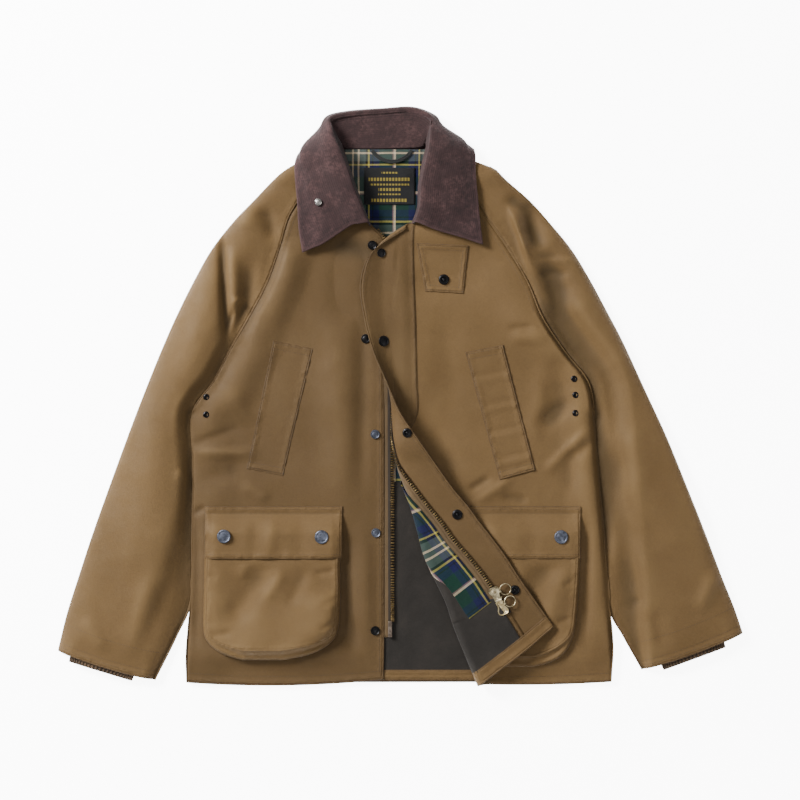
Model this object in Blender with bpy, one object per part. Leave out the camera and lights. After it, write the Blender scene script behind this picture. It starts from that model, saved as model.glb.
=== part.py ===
"""Waxed jacket laid open on its back, with its own left front turned back.

Frame: metres, +Z up, origin under the middle of the jacket on the surface it lies on,
+Y towards the collar, +X towards the wearer's left.  Tables are in millimetres.
Every piece of cloth is a wall through rows of sections; the rows come from the cut's
own sizes, and the heights from one height rule that all the top layers share.
"""
import math

import bmesh
import bpy
from mathutils import Vector

MM = 0.001

# ---- driving sizes, mm ------------------------------------------------------------
WALL = 1.8            # body cloth with its backing
THIN = 1.0            # lining, tape, label
GAP = 0.3             # between neighbouring pieces
EASE = 0.5            # between a piece and the curved panel that it lies on
BODY_RISE = 7.6       # top of the fronts, where they lie flat on the back
SLEEVE_RISE = 6.5     # how much fuller a sleeve stands than the fronts
SLEEVE_EASE = 60.0    # over which that fullness grows from the armhole seam
SIDE_EDGE = 3.9       # top of the upper cloth at a seam that meets the lower cloth
FREE_EDGE = 5.6       # top of the upper cloth at an edge that lies on the linings
CUFF_EDGE = 12.9      # top of the upper cloth round the knitted cuff
NECK_LIFT = 2.2       # how far the collar leaf under the neck lifts what lies on it
NECK_LIFT_FROM, NECK_LIFT_TO = 285.0, 308.0
ROLL = 6.2            # radius of the roll at the turned-back front
ROLL_EASE = 1.3       # how much further off the linings stand round that roll
ZIP_X = -10.0         # where the closed part of the zip runs
FACING_NEAR, FACING_FAR = 11.0, 47.0    # plaid facing, from the zip's teeth
LINING_NEAR = 16.0    # lining below the facing, clear of the sliders
BAG_RISE = 3.4        # how far a bellows pocket stands out of the front
BAG_EDGE = 9.0        # over which its gusset rises

# ---- tables of sections, mm --------------------------------------------------------
# the back: its edge on the wearer's right, and its edge on the wearer's left
TORSO = [
    # right_x, right_y, left_x, left_y
    (-92, 340, 47, 340),
    (-112, 310, 70, 310),
    (-128, 285, 90, 285),
    (-140, 266, 107, 265),
    (-152, 244, 120, 244),
    (-163, 208, 145, 208),
    (-180, 159, 174, 159),
    (-205, 111, 194, 111),
    (-232, 65, 224, 65),
    (-254, 23, 256, 23),
    (-284, -21, 265, -27),
    (-283, -144, 275, -147),
    (-286, -278, 286, -280),
    (-291, -389, 288, -388),
]

# the wearer's right front: side or armhole edge, then neck or front edge
FRONT_RIGHT = [
    # side_x, side_y, front_x, front_y
    (-92, 340, -81, 340),
    (-112, 310, -70, 310),
    (-128, 285, -62, 285),
    (-140, 266, -53, 263),
    (-152, 244, -40, 239),
    (-163, 208, -19, 213),
    (-180, 159, -22, 159),
    (-205, 111, -22, 111),
    (-232, 65, -22, 65),
    (-254, 23, -22, 23),
    (-284, -21, -22, -21),
    (-283, -84, -22, -84),
    (-283, -144, -22, -144),
    (-284, -207, -22, -207),
    (-286, -278, -22, -278),
    (-291, -344, -22, -344),
    (-291, -389, -23, -385),
]

# the wearer's left front, row by row: side edge, leftmost point of the roll (or the
# zip line where nothing is turned), angle turned, zip line after turning, free edge of
# the storm flap with its height above the front, and how the flap leaves the zip line
FRONT_LEFT = [
    # side_x side_y fold_x fold_y turn zip_x zip_y edge_x edge_y edge_z lean
    (47, 340, 29, 340, 0, 29, 340, None, None, None, None),
    (70, 310, 30, 310, 0, 30, 310, None, None, None, None),
    (90, 285, 27, 285, 0, 27, 285, None, None, None, None),
    (107, 265, 20, 260, 0, 20, 260, None, None, None, None),
    (120, 244, 11, 239, 0, 11, 239, None, None, None, None),
    (145, 208, -5, 217, 0, -5, 217, -38, 200, 2.7, 0),
    (174, 159, -10, 159, 0, -10, 159, -54, 159, 2.7, 0),
    (194, 111, -10, 111, 0, -10, 111, -49, 111, 4.0, 2),
    (224, 65, -10, 65, 0, -10, 65, -37, 66, 15.0, 8),
    (256, 23, -10, 23, 0, -10, 23, -19, 24, 25.0, 40),
    (265, -27, -10, -21, 0, -10, -21, 1, -20, 27.0, 75),
    (268, -64, -8, -64, 80, -8, -64, 27, -58, 24.0, 80),
    (271, -98, -1, -98, 150, -1, -98, 48, -88, 19.0, 20),
    (275, -147, 18, -147, 180, 33, -140, 72, -122, 15.0, 8),
    (278, -182, 28, -182, 180, 55, -167, 93, -147, 13.0, 2),
    (280, -215, 37, -215, 180, 72, -191, 109, -169, 12.4, 0),
    (284, -248, 52, -248, 180, 93, -215, 124, -188, 12.4, 0),
    (286, -280, 67, -280, 180, 113, -240, 144, -215, 12.4, 0),
    (288, -311, 77, -311, 180, 130, -265, 160, -240, 12.4, 0),
    (290, -344, 90, -344, 180, 150, -292, 180, -269, 12.0, 0),
    (288, -388, 111, -394, 180, 178, -338, 210, -311, 11.0, 0),
]
FLAP_TOP_ROW = 5      # the first of those rows that the storm flap reaches
FOLDED_ROW = 13       # the first row where the front is turned right over
FACING_TURNS = 15     # the last row where the facing goes round the roll
ROLL_COLUMNS = 7      # columns of the left front's grid from the zip to the roll's foot
UNDER_ROLL = 6.0      # the column under the roll where the linings stop

SLEEVE_RIGHT = [
    # outer_x, outer_y, inner_x, inner_y
    (-101, 345, -94, 340),
    (-130, 329, -115, 310),
    (-156, 314, -131, 285),
    (-174, 299, -143, 266),
    (-201, 271, -155, 244),
    (-227, 244, -165, 208),
    (-257, 206, -183, 159),
    (-280, 166, -208, 111),
    (-306, 114, -235, 65),
    (-328, 64, -257, 23),
    (-349, 12, -286, -21),
    (-369, -40, -286, -68),
    (-395, -111, -286, -128),
    (-420, -181, -287, -193),
    (-442, -248, -288, -275),
    (-457, -296, -309, -327),
    (-469, -345, -338, -385),
]
SLEEVE_LEFT = [
    # outer_x, outer_y, inner_x, inner_y
    (55, 345, 49, 340),
    (90, 330, 72, 310),
    (128, 315, 93, 285),
    (146, 299, 110, 265),
    (178, 271, 123, 244),
    (206, 240, 148, 208),
    (236, 203, 176, 159),
    (261, 162, 197, 111),
    (283, 121, 227, 65),
    (306, 77, 258, 23),
    (335, 14, 267, -27),
    (365, -51, 271, -84),
    (392, -117, 278, -146),
    (417, -180, 284, -207),
    (440, -241, 288, -284),
    (458, -286, 309, -327),
    (470, -321, 334, -371),
]
UNDERARM_ROW = 10     # the row of both sleeve tables, and of TORSO, at the underarm

# the collar from the wearer's right end round the back: where it rolls, two points on
# the way down, the free edge, and the neck seam below; heights above the surface
COLLAR = [
    # roll_x roll_y roll_z  near_x near_y near_z  far_x far_y far_z  edge_x edge_y edge_z  neck_x neck_y
    (-45, 241, 22, -68, 236, 20, -103, 213, 17, -133, 200, 14, -40, 236),
    (-56, 265, 25, -82, 255, 23, -112, 241, 19, -138, 232, 14, -50, 262),
    (-66, 289, 27, -92, 282, 25, -119, 275, 20, -140, 267, 14, -59, 286),
    (-75, 316, 28, -100, 311, 25, -123, 307, 20, -143, 301, 13, -68, 313),
    (-85, 340, 27, -107, 336, 24, -128, 332, 18, -143, 325, 10, -76, 336),
    (-92, 356, 25, -112, 352, 19, -130, 349, 9, -132, 338, 0.95, -79, 345),
    (-95, 371, 22, -109, 369, 14, -113, 367, 4, -100, 316, 0.95, -80, 349),
    (-95, 384, 17, -100, 386, 9, -96, 382, 2, -81, 314, 0.95, -76, 345),
    (-71, 391, 13, -72, 393.5, 6, -71, 390, 0.95, -61, 313, 0.95, -65, 343),
    (-25, 395, 12, -25, 397, 6, -25, 394, 0.95, -23, 312, 0.95, -25, 343),
    (16, 397, 13, 17, 399, 6, 16, 396, 0.95, 16, 314, 0.95, 16, 344),
    (42, 386, 17, 47, 388, 9, 43, 384, 2, 33, 315, 0.95, 31, 346),
    (43, 371, 22, 56, 375, 14, 60, 371, 4, 50, 319, 0.95, 35, 350),
    (43, 356, 25, 65, 360, 19, 83, 357, 9, 94, 341, 0.95, 36, 346),
    (41, 340, 27, 63, 340, 24, 82, 341, 18, 102, 334, 10, 34, 337),
    (36, 316, 28, 59, 314, 25, 81, 312, 20, 103, 309, 13, 29, 315),
    (31, 289, 27, 56, 285, 25, 81, 280, 20, 106, 274, 14, 25, 288),
    (30, 263, 25, 56, 258, 23, 82, 249, 19, 109, 243, 14, 24, 262),
    (23, 241, 22, 50, 230, 20, 82, 221, 17, 113, 211, 14, 16, 239),
]

# largest folds in the cloth: from, to, height (below zero, a trough), half width
FOLDS = [
    # x1, y1, x2, y2, height, width
    (-236, 205, -232, 70, -4.0, 13),
    (-262, 160, -300, -20, 3.0, 24),
    (-330, -60, -372, -210, 3.5, 26),
    (170, 225, 182, 150, -4.0, 13),
    (215, 190, 300, 60, 3.0, 24),
    (320, -60, 372, -190, 3.5, 26),
    (182, 172, 240, 183, 2.5, 12),
]

# patch and flap corners: upper right-hand, upper left-hand, lower pair, wearer's sides
HAND_WARMERS = {
    # name: four corners in order round the patch
    "handwarmer_right": [(-173, 79), (-119, 68), (-160, -106), (-210, -96)],
    "handwarmer_left": [(90, 63), (141, 73), (185, -98), (137, -111)],
}
BAG_ROWS = [
    # y, near_side_x, near_front_x   (wearer's right pocket)
    (-173, -267, -79),
    (-222, -268, -81),
    (-275, -269, -81),
    (-318, -269, -85),
    (-337, -260, -98),
    (-350, -241, -123),
    (-358, -216, -160),
]
BAG_ROWS_LEFT = [
    # y, near_side_x, near_front_x
    (-173, 247, 71),
    (-222, 247, 75),
    (-275, 244, 81),
    (-319, 239, 91),
    (-346, 227, 106),
    (-360, 208, 124),
    (-367, 183, 144),
]
FLAP_ROWS = [
    # y, inset at each end, height above the front before and over the bag (0 to 1)
    (-148, 0.0, 0.0),
    (-157, 0.0, 0.1),
    (-169, 0.5, 1.0),
    (-200, 0.5, 1.0),
    (-219, 1.0, 1.0),
]
FASTENERS = [
    # name, x, y, radius, height, what it sits on
    ("stud_1", -38, 210, 6.2, 2.4, "front"),
    ("stud_2", -47, 82, 6.2, 2.4, "front"),
    ("stud_3", -34, -49, 6.2, 2.4, "front"),
    ("stud_4", -33, -184, 6.2, 2.4, "front"),
    ("stud_5", -34, -318, 6.2, 2.4, "front"),
    ("pocket_snap_1", -240, -188, 9.5, 1.8, "flap"),
    ("pocket_snap_2", -107, -189, 9.5, 1.8, "flap"),
    ("pocket_snap_3", 220, -189, 9.5, 1.8, "flap"),
]
FLAP_SNAPS = [
    # name, row of FRONT_LEFT, share of the way from zip line to free edge, radius
    ("flap_snap_1", 5.30, 0.52, 6.0),
    ("flap_snap_2", 7.66, 0.30, 6.0),
    ("flap_snap_3", 10.75, 0.62, 6.5),
    ("flap_snap_4", 14.35, 0.60, 7.0),
    ("flap_snap_5", 17.75, 0.62, 6.5),
]
EYELETS = [
    # name, x, y
    ("eyelet_right_1", -265, 2),
    ("eyelet_right_2", -265, -22),
    ("eyelet_left_1", 238, 27),
    ("eyelet_left_2", 240, 5),
    ("eyelet_left_3", 240, -20),
]
EYELET_OUTER, EYELET_INNER, EYELET_HEIGHT = 4.6, 2.2, 1.2

# ---- zip ------------------------------------------------------------------------------
ZIP_FIRST_ROW = 5                 # of FRONT_RIGHT
ZIP_LAST_ROW = 19
TAPE_NEAR, TAPE_FAR = 1.0, 5.7    # the tape's two edges, from the teeth's line
TAPE_SUNK = 0.9                   # the tape's face below the cloth's face
STOP_SIZE = (22.0, 5.5, 1.6)
SLIDER_CENTRE = (130.0, -266.5)
SLIDER_ALONG = (0.42, -0.91)
SLIDER_LIFT = 2.1                 # above the turned cloth's outer face
SLIDER_HEIGHT = 4.0
SLIDER_HALF = 5.0                 # half width at the narrow end
EYE_MAJOR, EYE_MINOR = 1.7, 0.55
RING_MAJOR, RING_MINOR = 7.6, 0.8
RING_TILT = 8.0
SLIDERS = [
    # name, which way its wide end points, its place and its eye's along the zip, and
    # the eye's to the side
    ("upper", 1, 0.0, -0.5, 7.7),
    ("lower", -1, 20.6, 17.0, 6.5),
]

# colour, roughness, metallic
FINISHES = {
    "waxed_khaki": ((0.22, 0.125, 0.055), 0.62, 0.0),
    "corduroy_brown": ((0.095, 0.045, 0.042), 0.9, 0.0),
    "plaid_lining": ((0.05, 0.14, 0.13), 0.85, 0.0),
    "dark_lining": ((0.045, 0.034, 0.028), 0.8, 0.0),
    "rib_knit": ((0.16, 0.075, 0.035), 0.95, 0.0),
    "woven_label": ((0.012, 0.012, 0.014), 0.8, 0.0),
    "zip_tape": ((0.12, 0.07, 0.035), 0.85, 0.0),
    "brass": ((0.45, 0.32, 0.14), 0.35, 1.0),
    "dark_steel": ((0.12, 0.13, 0.15), 0.4, 1.0),
}


# ---- small helpers -----------------------------------------------------------------
def clear_scene():
    """Remove every object that a new file starts with."""
    for obj in list(bpy.data.objects):
        bpy.data.objects.remove(obj, do_unlink=True)


def finish(name):
    """The material called name, made once from FINISHES."""
    material = bpy.data.materials.get(name)
    if material is None:
        colour, roughness, metallic = FINISHES[name]
        material = bpy.data.materials.new(name)
        material.use_nodes = True
        shader = material.node_tree.nodes["Principled BSDF"]
        shader.inputs["Base Color"].default_value = (*colour, 1.0)
        shader.inputs["Roughness"].default_value = roughness
        shader.inputs["Metallic"].default_value = metallic
    return material


def add_object(name, bm, material, smooth=True):
    """Turn a bmesh in millimetres into a named object in metres."""
    bmesh.ops.recalc_face_normals(bm, faces=bm.faces)
    bmesh.ops.scale(bm, vec=(MM, MM, MM), verts=bm.verts)
    mesh = bpy.data.meshes.new(name)
    bm.to_mesh(mesh)
    bm.free()
    if smooth:
        mesh.shade_smooth()
        mesh.set_sharp_from_angle(angle=math.radians(40))
    obj = bpy.data.objects.new(name, mesh)
    bpy.context.scene.collection.objects.link(obj)
    obj.data.materials.append(finish(material))
    return obj


def lerp(a, b, share):
    return a + (b - a) * share


def smooth(value, start, end):
    """0 before start, 1 after end, eased between."""
    share = min(max((value - start) / (end - start), 0.0), 1.0)
    return share * share * (3 - 2 * share)


def row_at(table, index):
    """A table's row at a whole or a fractional index."""
    low = min(int(index), len(table) - 2)
    share = index - low
    return [None if a is None or b is None else lerp(a, b, share)
            for a, b in zip(table[low], table[low + 1])]


def segment_distance(x, y, x1, y1, x2, y2):
    """Distance from a point to a segment, in plan."""
    dx, dy = x2 - x1, y2 - y1
    share = ((x - x1) * dx + (y - y1) * dy) / (dx * dx + dy * dy)
    share = min(max(share, 0.0), 1.0)
    return math.hypot(x - x1 - share * dx, y - y1 - share * dy)


def line_distance(x, y, points):
    """Distance from a point to a line through points, in plan."""
    return min(segment_distance(x, y, *a, *b) for a, b in zip(points, points[1:]))


# ---- the height rule that the top layers share --------------------------------------
SIDE_RIGHT = [row[:2] for row in FRONT_RIGHT[UNDERARM_ROW:]]
SIDE_LEFT = [row[:2] for row in FRONT_LEFT[UNDERARM_ROW:]]
ARMHOLE_RIGHT = [row[:2] for row in FRONT_RIGHT[:UNDERARM_ROW + 1]]
ARMHOLE_LEFT = [row[:2] for row in FRONT_LEFT[:UNDERARM_ROW + 1]]
EDGES = [
    # line, height at the edge, reach, True where the cloth rounds over a fold
    ([row[:2] for row in SLEEVE_RIGHT], SIDE_EDGE, 36.0, True),
    ([row[:2] for row in SLEEVE_LEFT], SIDE_EDGE, 36.0, True),
    (SIDE_RIGHT, SIDE_EDGE, 22.0, True),
    (SIDE_LEFT, SIDE_EDGE, 22.0, True),
    ([row[2:] for row in SLEEVE_RIGHT[UNDERARM_ROW:]], SIDE_EDGE, 26.0, True),
    ([row[2:] for row in SLEEVE_LEFT[UNDERARM_ROW:]], SIDE_EDGE, 26.0, True),
    ([row[2:] for row in FRONT_RIGHT[UNDERARM_ROW:]], FREE_EDGE, 40.0, False),
    ([row[2:4] for row in FRONT_LEFT[UNDERARM_ROW:]], FREE_EDGE, 40.0, False),
    ([FRONT_RIGHT[-1][:2], FRONT_RIGHT[-1][2:]], FREE_EDGE, 60.0, False),
    ([FRONT_LEFT[-1][:2], FRONT_LEFT[-1][2:4]], FREE_EDGE, 60.0, False),
    ([SLEEVE_RIGHT[-1][:2], SLEEVE_RIGHT[-1][2:]], CUFF_EDGE, 40.0, False),
    ([SLEEVE_LEFT[-1][:2], SLEEVE_LEFT[-1][2:]], CUFF_EDGE, 40.0, False),
]


def neck_lift(y):
    return NECK_LIFT * smooth(y, NECK_LIFT_FROM, NECK_LIFT_TO)


def torso_distance(x, y):
    """Distance from the armhole and side seams of the nearer side."""
    if x < 0:
        return min(line_distance(x, y, ARMHOLE_RIGHT), line_distance(x, y, SIDE_RIGHT))
    return min(line_distance(x, y, ARMHOLE_LEFT), line_distance(x, y, SIDE_LEFT))


def top_height(x, y, sleeve=False):
    """Height of the outer face of the upper cloth."""
    crest = BODY_RISE
    if sleeve:
        crest += SLEEVE_RISE * smooth(torso_distance(x, y), 0.0, SLEEVE_EASE)
    height = crest
    for line, edge, reach, rounded in EDGES:
        share = min(line_distance(x, y, line) / reach, 1.0)
        rise = math.sqrt(1 - (1 - share) ** 2) if rounded else smooth(share, 0.0, 1.0)
        height = min(height, edge + (crest - edge) * rise)
    room = max(height - FREE_EDGE, 0.0)
    for x1, y1, x2, y2, depth, width in FOLDS:
        fall = math.exp(-(segment_distance(x, y, x1, y1, x2, y2) / width) ** 2)
        share = min(room / abs(depth), 1.0) if depth < 0 else min(room / 4.0, 1.0)
        height += depth * fall * share * (1.0 if sleeve else 0.0) * smooth(
            torso_distance(x, y), 0.0, 25.0)
    return height + neck_lift(y)


# ---- walls ---------------------------------------------------------------------------
def wall(name, outer, inner, material):
    """A closed wall between two grids of points with the same rows and columns."""
    bm = bmesh.new()
    tops = [[bm.verts.new(p) for p in row] for row in outer]
    bottoms = [[bm.verts.new(p) for p in row] for row in inner]
    rows, columns = len(outer), len(outer[0])
    for i in range(rows - 1):
        for j in range(columns - 1):
            bm.faces.new((tops[i][j], tops[i][j + 1], tops[i + 1][j + 1], tops[i + 1][j]))
            bm.faces.new((bottoms[i][j], bottoms[i + 1][j], bottoms[i + 1][j + 1],
                          bottoms[i][j + 1]))
    rim = ([(0, j) for j in range(columns)]
           + [(i, columns - 1) for i in range(1, rows)]
           + [(rows - 1, j) for j in range(columns - 2, -1, -1)]
           + [(i, 0) for i in range(rows - 2, 0, -1)])
    for (i, j), (k, m) in zip(rim, rim[1:] + rim[:1]):
        bm.faces.new((tops[i][j], bottoms[i][j], bottoms[k][m], tops[k][m]))
    return add_object(name, bm, material)


def grid_normals(grid):
    """A unit normal at each point of a grid, from its neighbours."""
    rows, columns = len(grid), len(grid[0])
    normals = []
    for i in range(rows):
        line = []
        for j in range(columns):
            along = grid[min(i + 1, rows - 1)][j] - grid[max(i - 1, 0)][j]
            across = grid[i][min(j + 1, columns - 1)] - grid[i][max(j - 1, 0)]
            line.append(across.cross(along).normalized())
        normals.append(line)
    return normals


def skin(name, grid, thickness, material):
    """A wall of one thickness on both sides of a grid of points."""
    normals = grid_normals(grid)
    outer = [[p + n * thickness / 2 for p, n in zip(row, line)]
             for row, line in zip(grid, normals)]
    inner = [[p - n * thickness / 2 for p, n in zip(row, line)]
             for row, line in zip(grid, normals)]
    return wall(name, outer, inner, material)


def laid(name, plan, height, thickness, material):
    """A wall that lies flat: plan points, and a rule for the height of its top."""
    outer = [[Vector((x, y, height(x, y))) for x, y in row] for row in plan]
    inner = [[p - Vector((0, 0, thickness)) for p in row] for row in outer]
    return wall(name, outer, inner, material)


def across(left, right, shares, bow=0.0):
    """Plan points across a row, bowed downwards in the middle by bow."""
    return [(lerp(left[0], right[0], s),
             lerp(left[1], right[1], s) - bow * 4 * s * (1 - s)) for s in shares]


def inset_ends(left, right, amount):
    """The same row with both ends moved in by amount."""
    length = math.hypot(right[0] - left[0], right[1] - left[1])
    share = min(amount / length, 0.45)
    return ((lerp(left[0], right[0], share), lerp(left[1], right[1], share)),
            (lerp(right[0], left[0], share), lerp(right[1], left[1], share)))


# ---- body ------------------------------------------------------------------------------
PANEL_SHARES = (0.0, 0.03, 0.09, 0.2, 0.38, 0.58, 0.78, 0.92, 1.0)
SLEEVE_SHARES = (0.0, 0.025, 0.08, 0.2, 0.38, 0.58, 0.78, 0.93, 1.0)
HEM_BOW = 6.0


def back_panel():
    """The back: flat on the surface, lifted a little where the collar lies under it."""
    plan = [across(row[:2], row[2:], (0.0, 0.25, 0.5, 0.75, 1.0)) for row in TORSO]
    laid("back_panel", plan, lambda x, y: WALL + neck_lift(y), WALL, "waxed_khaki")


def front_right():
    """The wearer's right front, flat from side seam to free edge."""
    last = len(FRONT_RIGHT) - 1
    plan = [across(row[:2], row[2:], PANEL_SHARES, HEM_BOW if i == last else 0.0)
            for i, row in enumerate(FRONT_RIGHT)]
    laid("front_right", plan, top_height, WALL, "waxed_khaki")


def back_layer(name, rows, material, level, thickness=THIN):
    """A piece that lies on the inside of the back, between rows of two end points."""
    plan = [across(row[:2], row[2:], (0.0, 0.33, 0.67, 1.0)) for row in rows]
    laid(name, plan, lambda x, y: level + thickness + neck_lift(y), thickness, material)


def back_inside():
    """Linings and hem facing where they show on the inside of the back."""
    level = WALL + GAP
    back_layer("lining_yoke", [(-82, 339, 40, 339), (-82, 308, 40, 308),
                               (-82, 284, 40, 284), (-82, 200, 40, 200),
                               (-60, -60, 60, -60), (-60, -113, 60, -113)],
               "plaid_lining", level)
    back_layer("lining_lower", [(-60, -113.4, 60, -113.4), (-60, -240, 75, -240),
                                (-60, -372, 110, -372)], "dark_lining", level)
    back_layer("hem_facing_back", [(-60, -372.4, 110, -372.4), (-60, -386, 110, -386)],
               "waxed_khaki", level)
    top = level + THIN + GAP
    back_layer("neck_label", [(-49, 322, 22, 322), (-49, 308, 22, 308),
                              (-49, 285, 22, 285), (-49, 265, 22, 265)],
               "woven_label", top, 0.8)
    back_layer("hanger_loop", [(-41, 338, 16, 338), (-41, 331, 16, 331)],
               "plaid_lining", top, 0.9)


# ---- the left front and its turned-back part ----------------------------------------------
class TurnedRow:
    """One row of the left front: flat cloth, the roll, and the part laid back."""

    def __init__(self, index):
        (sx, sy, fx, fy, turn, zx, zy, ex, ey, ez, lean) = row_at(FRONT_LEFT, index)
        before = row_at(FRONT_LEFT, max(index - 0.5, UNDERARM_ROW))
        after = row_at(FRONT_LEFT, min(index + 0.5, len(FRONT_LEFT) - 1))
        self.side = Vector((sx, sy))
        self.turn = math.radians(turn)
        self.edge, self.edge_rise, self.lean = (ex, ey), ez, lean
        self.tangent = Vector((after[2] - before[2], after[3] - before[3]))
        self.tangent = self.tangent.normalized() if turn > 0 else Vector((0, -1))
        self.normal = Vector((self.tangent.y, -self.tangent.x))
        fold = Vector((fx, fy))
        if turn >= 179:
            self.start = fold - self.normal * ROLL
            reach = Vector((zx, zy)) - self.start
            self.length = math.pi * ROLL - reach.dot(self.normal)
            self.shift = reach.dot(self.tangent)
        else:
            self.start = fold - self.normal * (ROLL * math.sin(min(self.turn, math.pi / 2)))
            self.length = ROLL * self.turn
            self.shift = 0.0
        self.total = max(self.length, 12.0)
        self.towards_side = (self.side - self.start).normalized()

    def point(self, back, offset):
        """The point at a distance back from the zip line, offset towards the inside."""
        along = self.length - back
        if along <= 0:
            plan = self.start - self.towards_side * along
            return Vector((*plan, top_height(*plan) - offset))
        plan = self.start + self.tangent * (self.shift * along / self.length)
        base = top_height(*self.start)
        if along < math.pi * ROLL:
            angle = along / ROLL
            radius = ROLL + offset
            plan = plan + self.normal * (radius * math.sin(angle))
            return Vector((*plan, base + ROLL - radius * math.cos(angle)))
        plan = plan - self.normal * (along - math.pi * ROLL)
        return Vector((*plan, self.laid_back(plan) + offset))

    def bend(self, back):
        """How much of the roll lies under a point: 0 on the flats, 1 at its side."""
        along = min(max(self.length - back, 0.0), math.pi * ROLL)
        return math.sin(along / ROLL)

    def laid_back(self, plan):
        """Height of the turned-back cloth's outer face."""
        base = top_height(*self.start)
        away = (plan - self.start).length
        return lerp(base, top_height(*plan), smooth(away, 0.0, 40.0)) + 2 * ROLL

    def columns(self, first=6.0):
        """Distances back from the zip line at which this row's points lie."""
        inner = max(self.length - math.pi * ROLL, first + 3.0)
        outer = max(self.total, inner + 3.0)
        return ([lerp(first, inner, k / 3) for k in range(3)]
                + [lerp(inner, outer, k / 4) for k in range(5)])


def front_left():
    """The wearer's left front: flat, rolled over its fold and laid back."""
    outer, inner = [], []
    last = len(FRONT_LEFT) - 1
    for index in range(len(FRONT_LEFT)):
        row = TurnedRow(index)
        backs = row.columns()
        flat_start = row.point(backs[-1], 0.0)
        shares = (0.12, 0.3, 0.52, 0.74, 0.9, 0.97, 1.0)
        plan = [flat_start.xy.lerp(row.side, s) for s in shares]
        if index == last:
            plan = [p - Vector((0, HEM_BOW * 4 * s * (1 - s))) for p, s in zip(plan, shares)]
        line = [row.point(back, 0.0) for back in backs]
        under = [row.point(back, WALL) for back in backs]
        for p in plan:
            height = top_height(*p)
            line.append(Vector((*p, height)))
            under.append(Vector((*p, height - WALL)))
        outer.append(line)
        inner.append(under)
    wall("front_left", outer, inner, "waxed_khaki")


def bezier(p0, p1, p2, share):
    return p0 * (1 - share) ** 2 + p1 * 2 * share * (1 - share) + p2 * share ** 2


FLAP_SHARES = (0.0, 0.2, 0.4, 0.6, 0.8, 1.0)
FLAP_OFFSET = -EASE - GAP - WALL / 2      # of the flap's middle from the front's face
# how far the flap's seam lies back from the zip line, by row of FRONT_LEFT
FLAP_BASE = {5: 24.0, 6: 30.0, 7: 32.0, 8: 33.0, 9: 34.0, 10: 34.0, 11: 14.0, 12: 7.0}
FLAP_BASE_BELOW = 5.4


def flap_point(index, share):
    """A point of the storm flap's middle, from the zip line to its free edge."""
    row = TurnedRow(index)
    start = row.point(0.0, FLAP_OFFSET)
    edge_floor = top_height(row.edge[0], row.edge[1])
    end = Vector((row.edge[0], row.edge[1], edge_floor + row.edge_rise - WALL / 2))
    lean = math.radians(row.lean)
    if index >= FOLDED_ROW - 1:
        ahead = (end - start)
        ahead.z = 0
        direction = ahead.normalized() * math.cos(lean) + Vector((0, 0, math.sin(lean)))
    else:
        direction = Vector((-math.cos(lean), 0, math.sin(lean)))
    middle = start + direction * (end - start).length * 0.5
    return bezier(start, middle, end, share)


def storm_flap():
    """The flap sewn outside the zip: flat above, standing where it turns, then laid back."""
    grid = []
    for index in range(FLAP_TOP_ROW, len(FRONT_LEFT)):
        row = TurnedRow(index)
        base = FLAP_BASE.get(index, FLAP_BASE_BELOW)
        line = [row.point(lerp(base, 0.0, k / 4), FLAP_OFFSET) for k in range(4)]
        line += [flap_point(index, share) for share in FLAP_SHARES]
        grid.append(line)
    skin("storm_flap", grid, WALL, "waxed_khaki")


def front_point(index, column, offset):
    """A point of the left front's own grid, between rows and columns, offset inwards."""
    low_row = min(int(index), len(FRONT_LEFT) - 2)
    low_column = min(int(column), ROLL_COLUMNS - 1)
    ends = []
    for i in (low_row, low_row + 1):
        row = TurnedRow(i)
        backs = row.columns()
        a, b = (row.point(backs[low_column + k], offset + ROLL_EASE * row.bend(
            backs[low_column + k]) * (offset > WALL)) for k in (0, 1))
        ends.append(a.lerp(b, column - low_column))
    return ends[0].lerp(ends[1], index - low_row)


def column_of(index, back):
    """The column of the left front's grid at a distance back from the zip line."""
    values = []
    for i in (math.floor(index), math.ceil(index)):
        backs = TurnedRow(i).columns()
        column = next((k for k in range(len(backs) - 1) if backs[k + 1] >= back),
                      len(backs) - 2)
        values.append(column + (back - backs[column]) / (backs[column + 1] - backs[column]))
    return lerp(values[0], values[1], index - math.floor(index))


def turned_layer(name, indices, near, far, material, thickness=THIN):
    """A piece on the inside of the turned-back front, between two of its columns."""
    outer, inner = [], []
    for index in indices:
        columns = layer_columns(near(index), far(index))
        inner.append([front_point(index, c, WALL + EASE) for c in columns])
        outer.append([front_point(index, c, WALL + EASE + thickness) for c in columns])
    wall(name, outer, inner, material)


def layer_columns(near, far, count=6):
    """Columns from near to far, set on the grid's own columns where they come close."""
    columns = [near]
    for k in range(1, count):
        column = lerp(near, far, k / count)
        nearest = round(column)
        if abs(column - nearest) < 0.4 and columns[-1] + 0.2 < nearest < far - 0.2:
            column = nearest
        columns.append(column)
    return columns + [far]


def facing_far(index):
    """The facing's inner edge: over the roll above, on the laid-back part below."""
    on_top = column_of(max(index, FACING_TURNS + 1), FACING_FAR)
    if index < FOLDED_ROW:
        return lerp(UNDER_ROLL - 1.2, UNDER_ROLL, index - FOLDED_ROW + 1)
    return lerp(UNDER_ROLL, on_top, smooth(index, FACING_TURNS, FACING_TURNS + 1))


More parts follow.
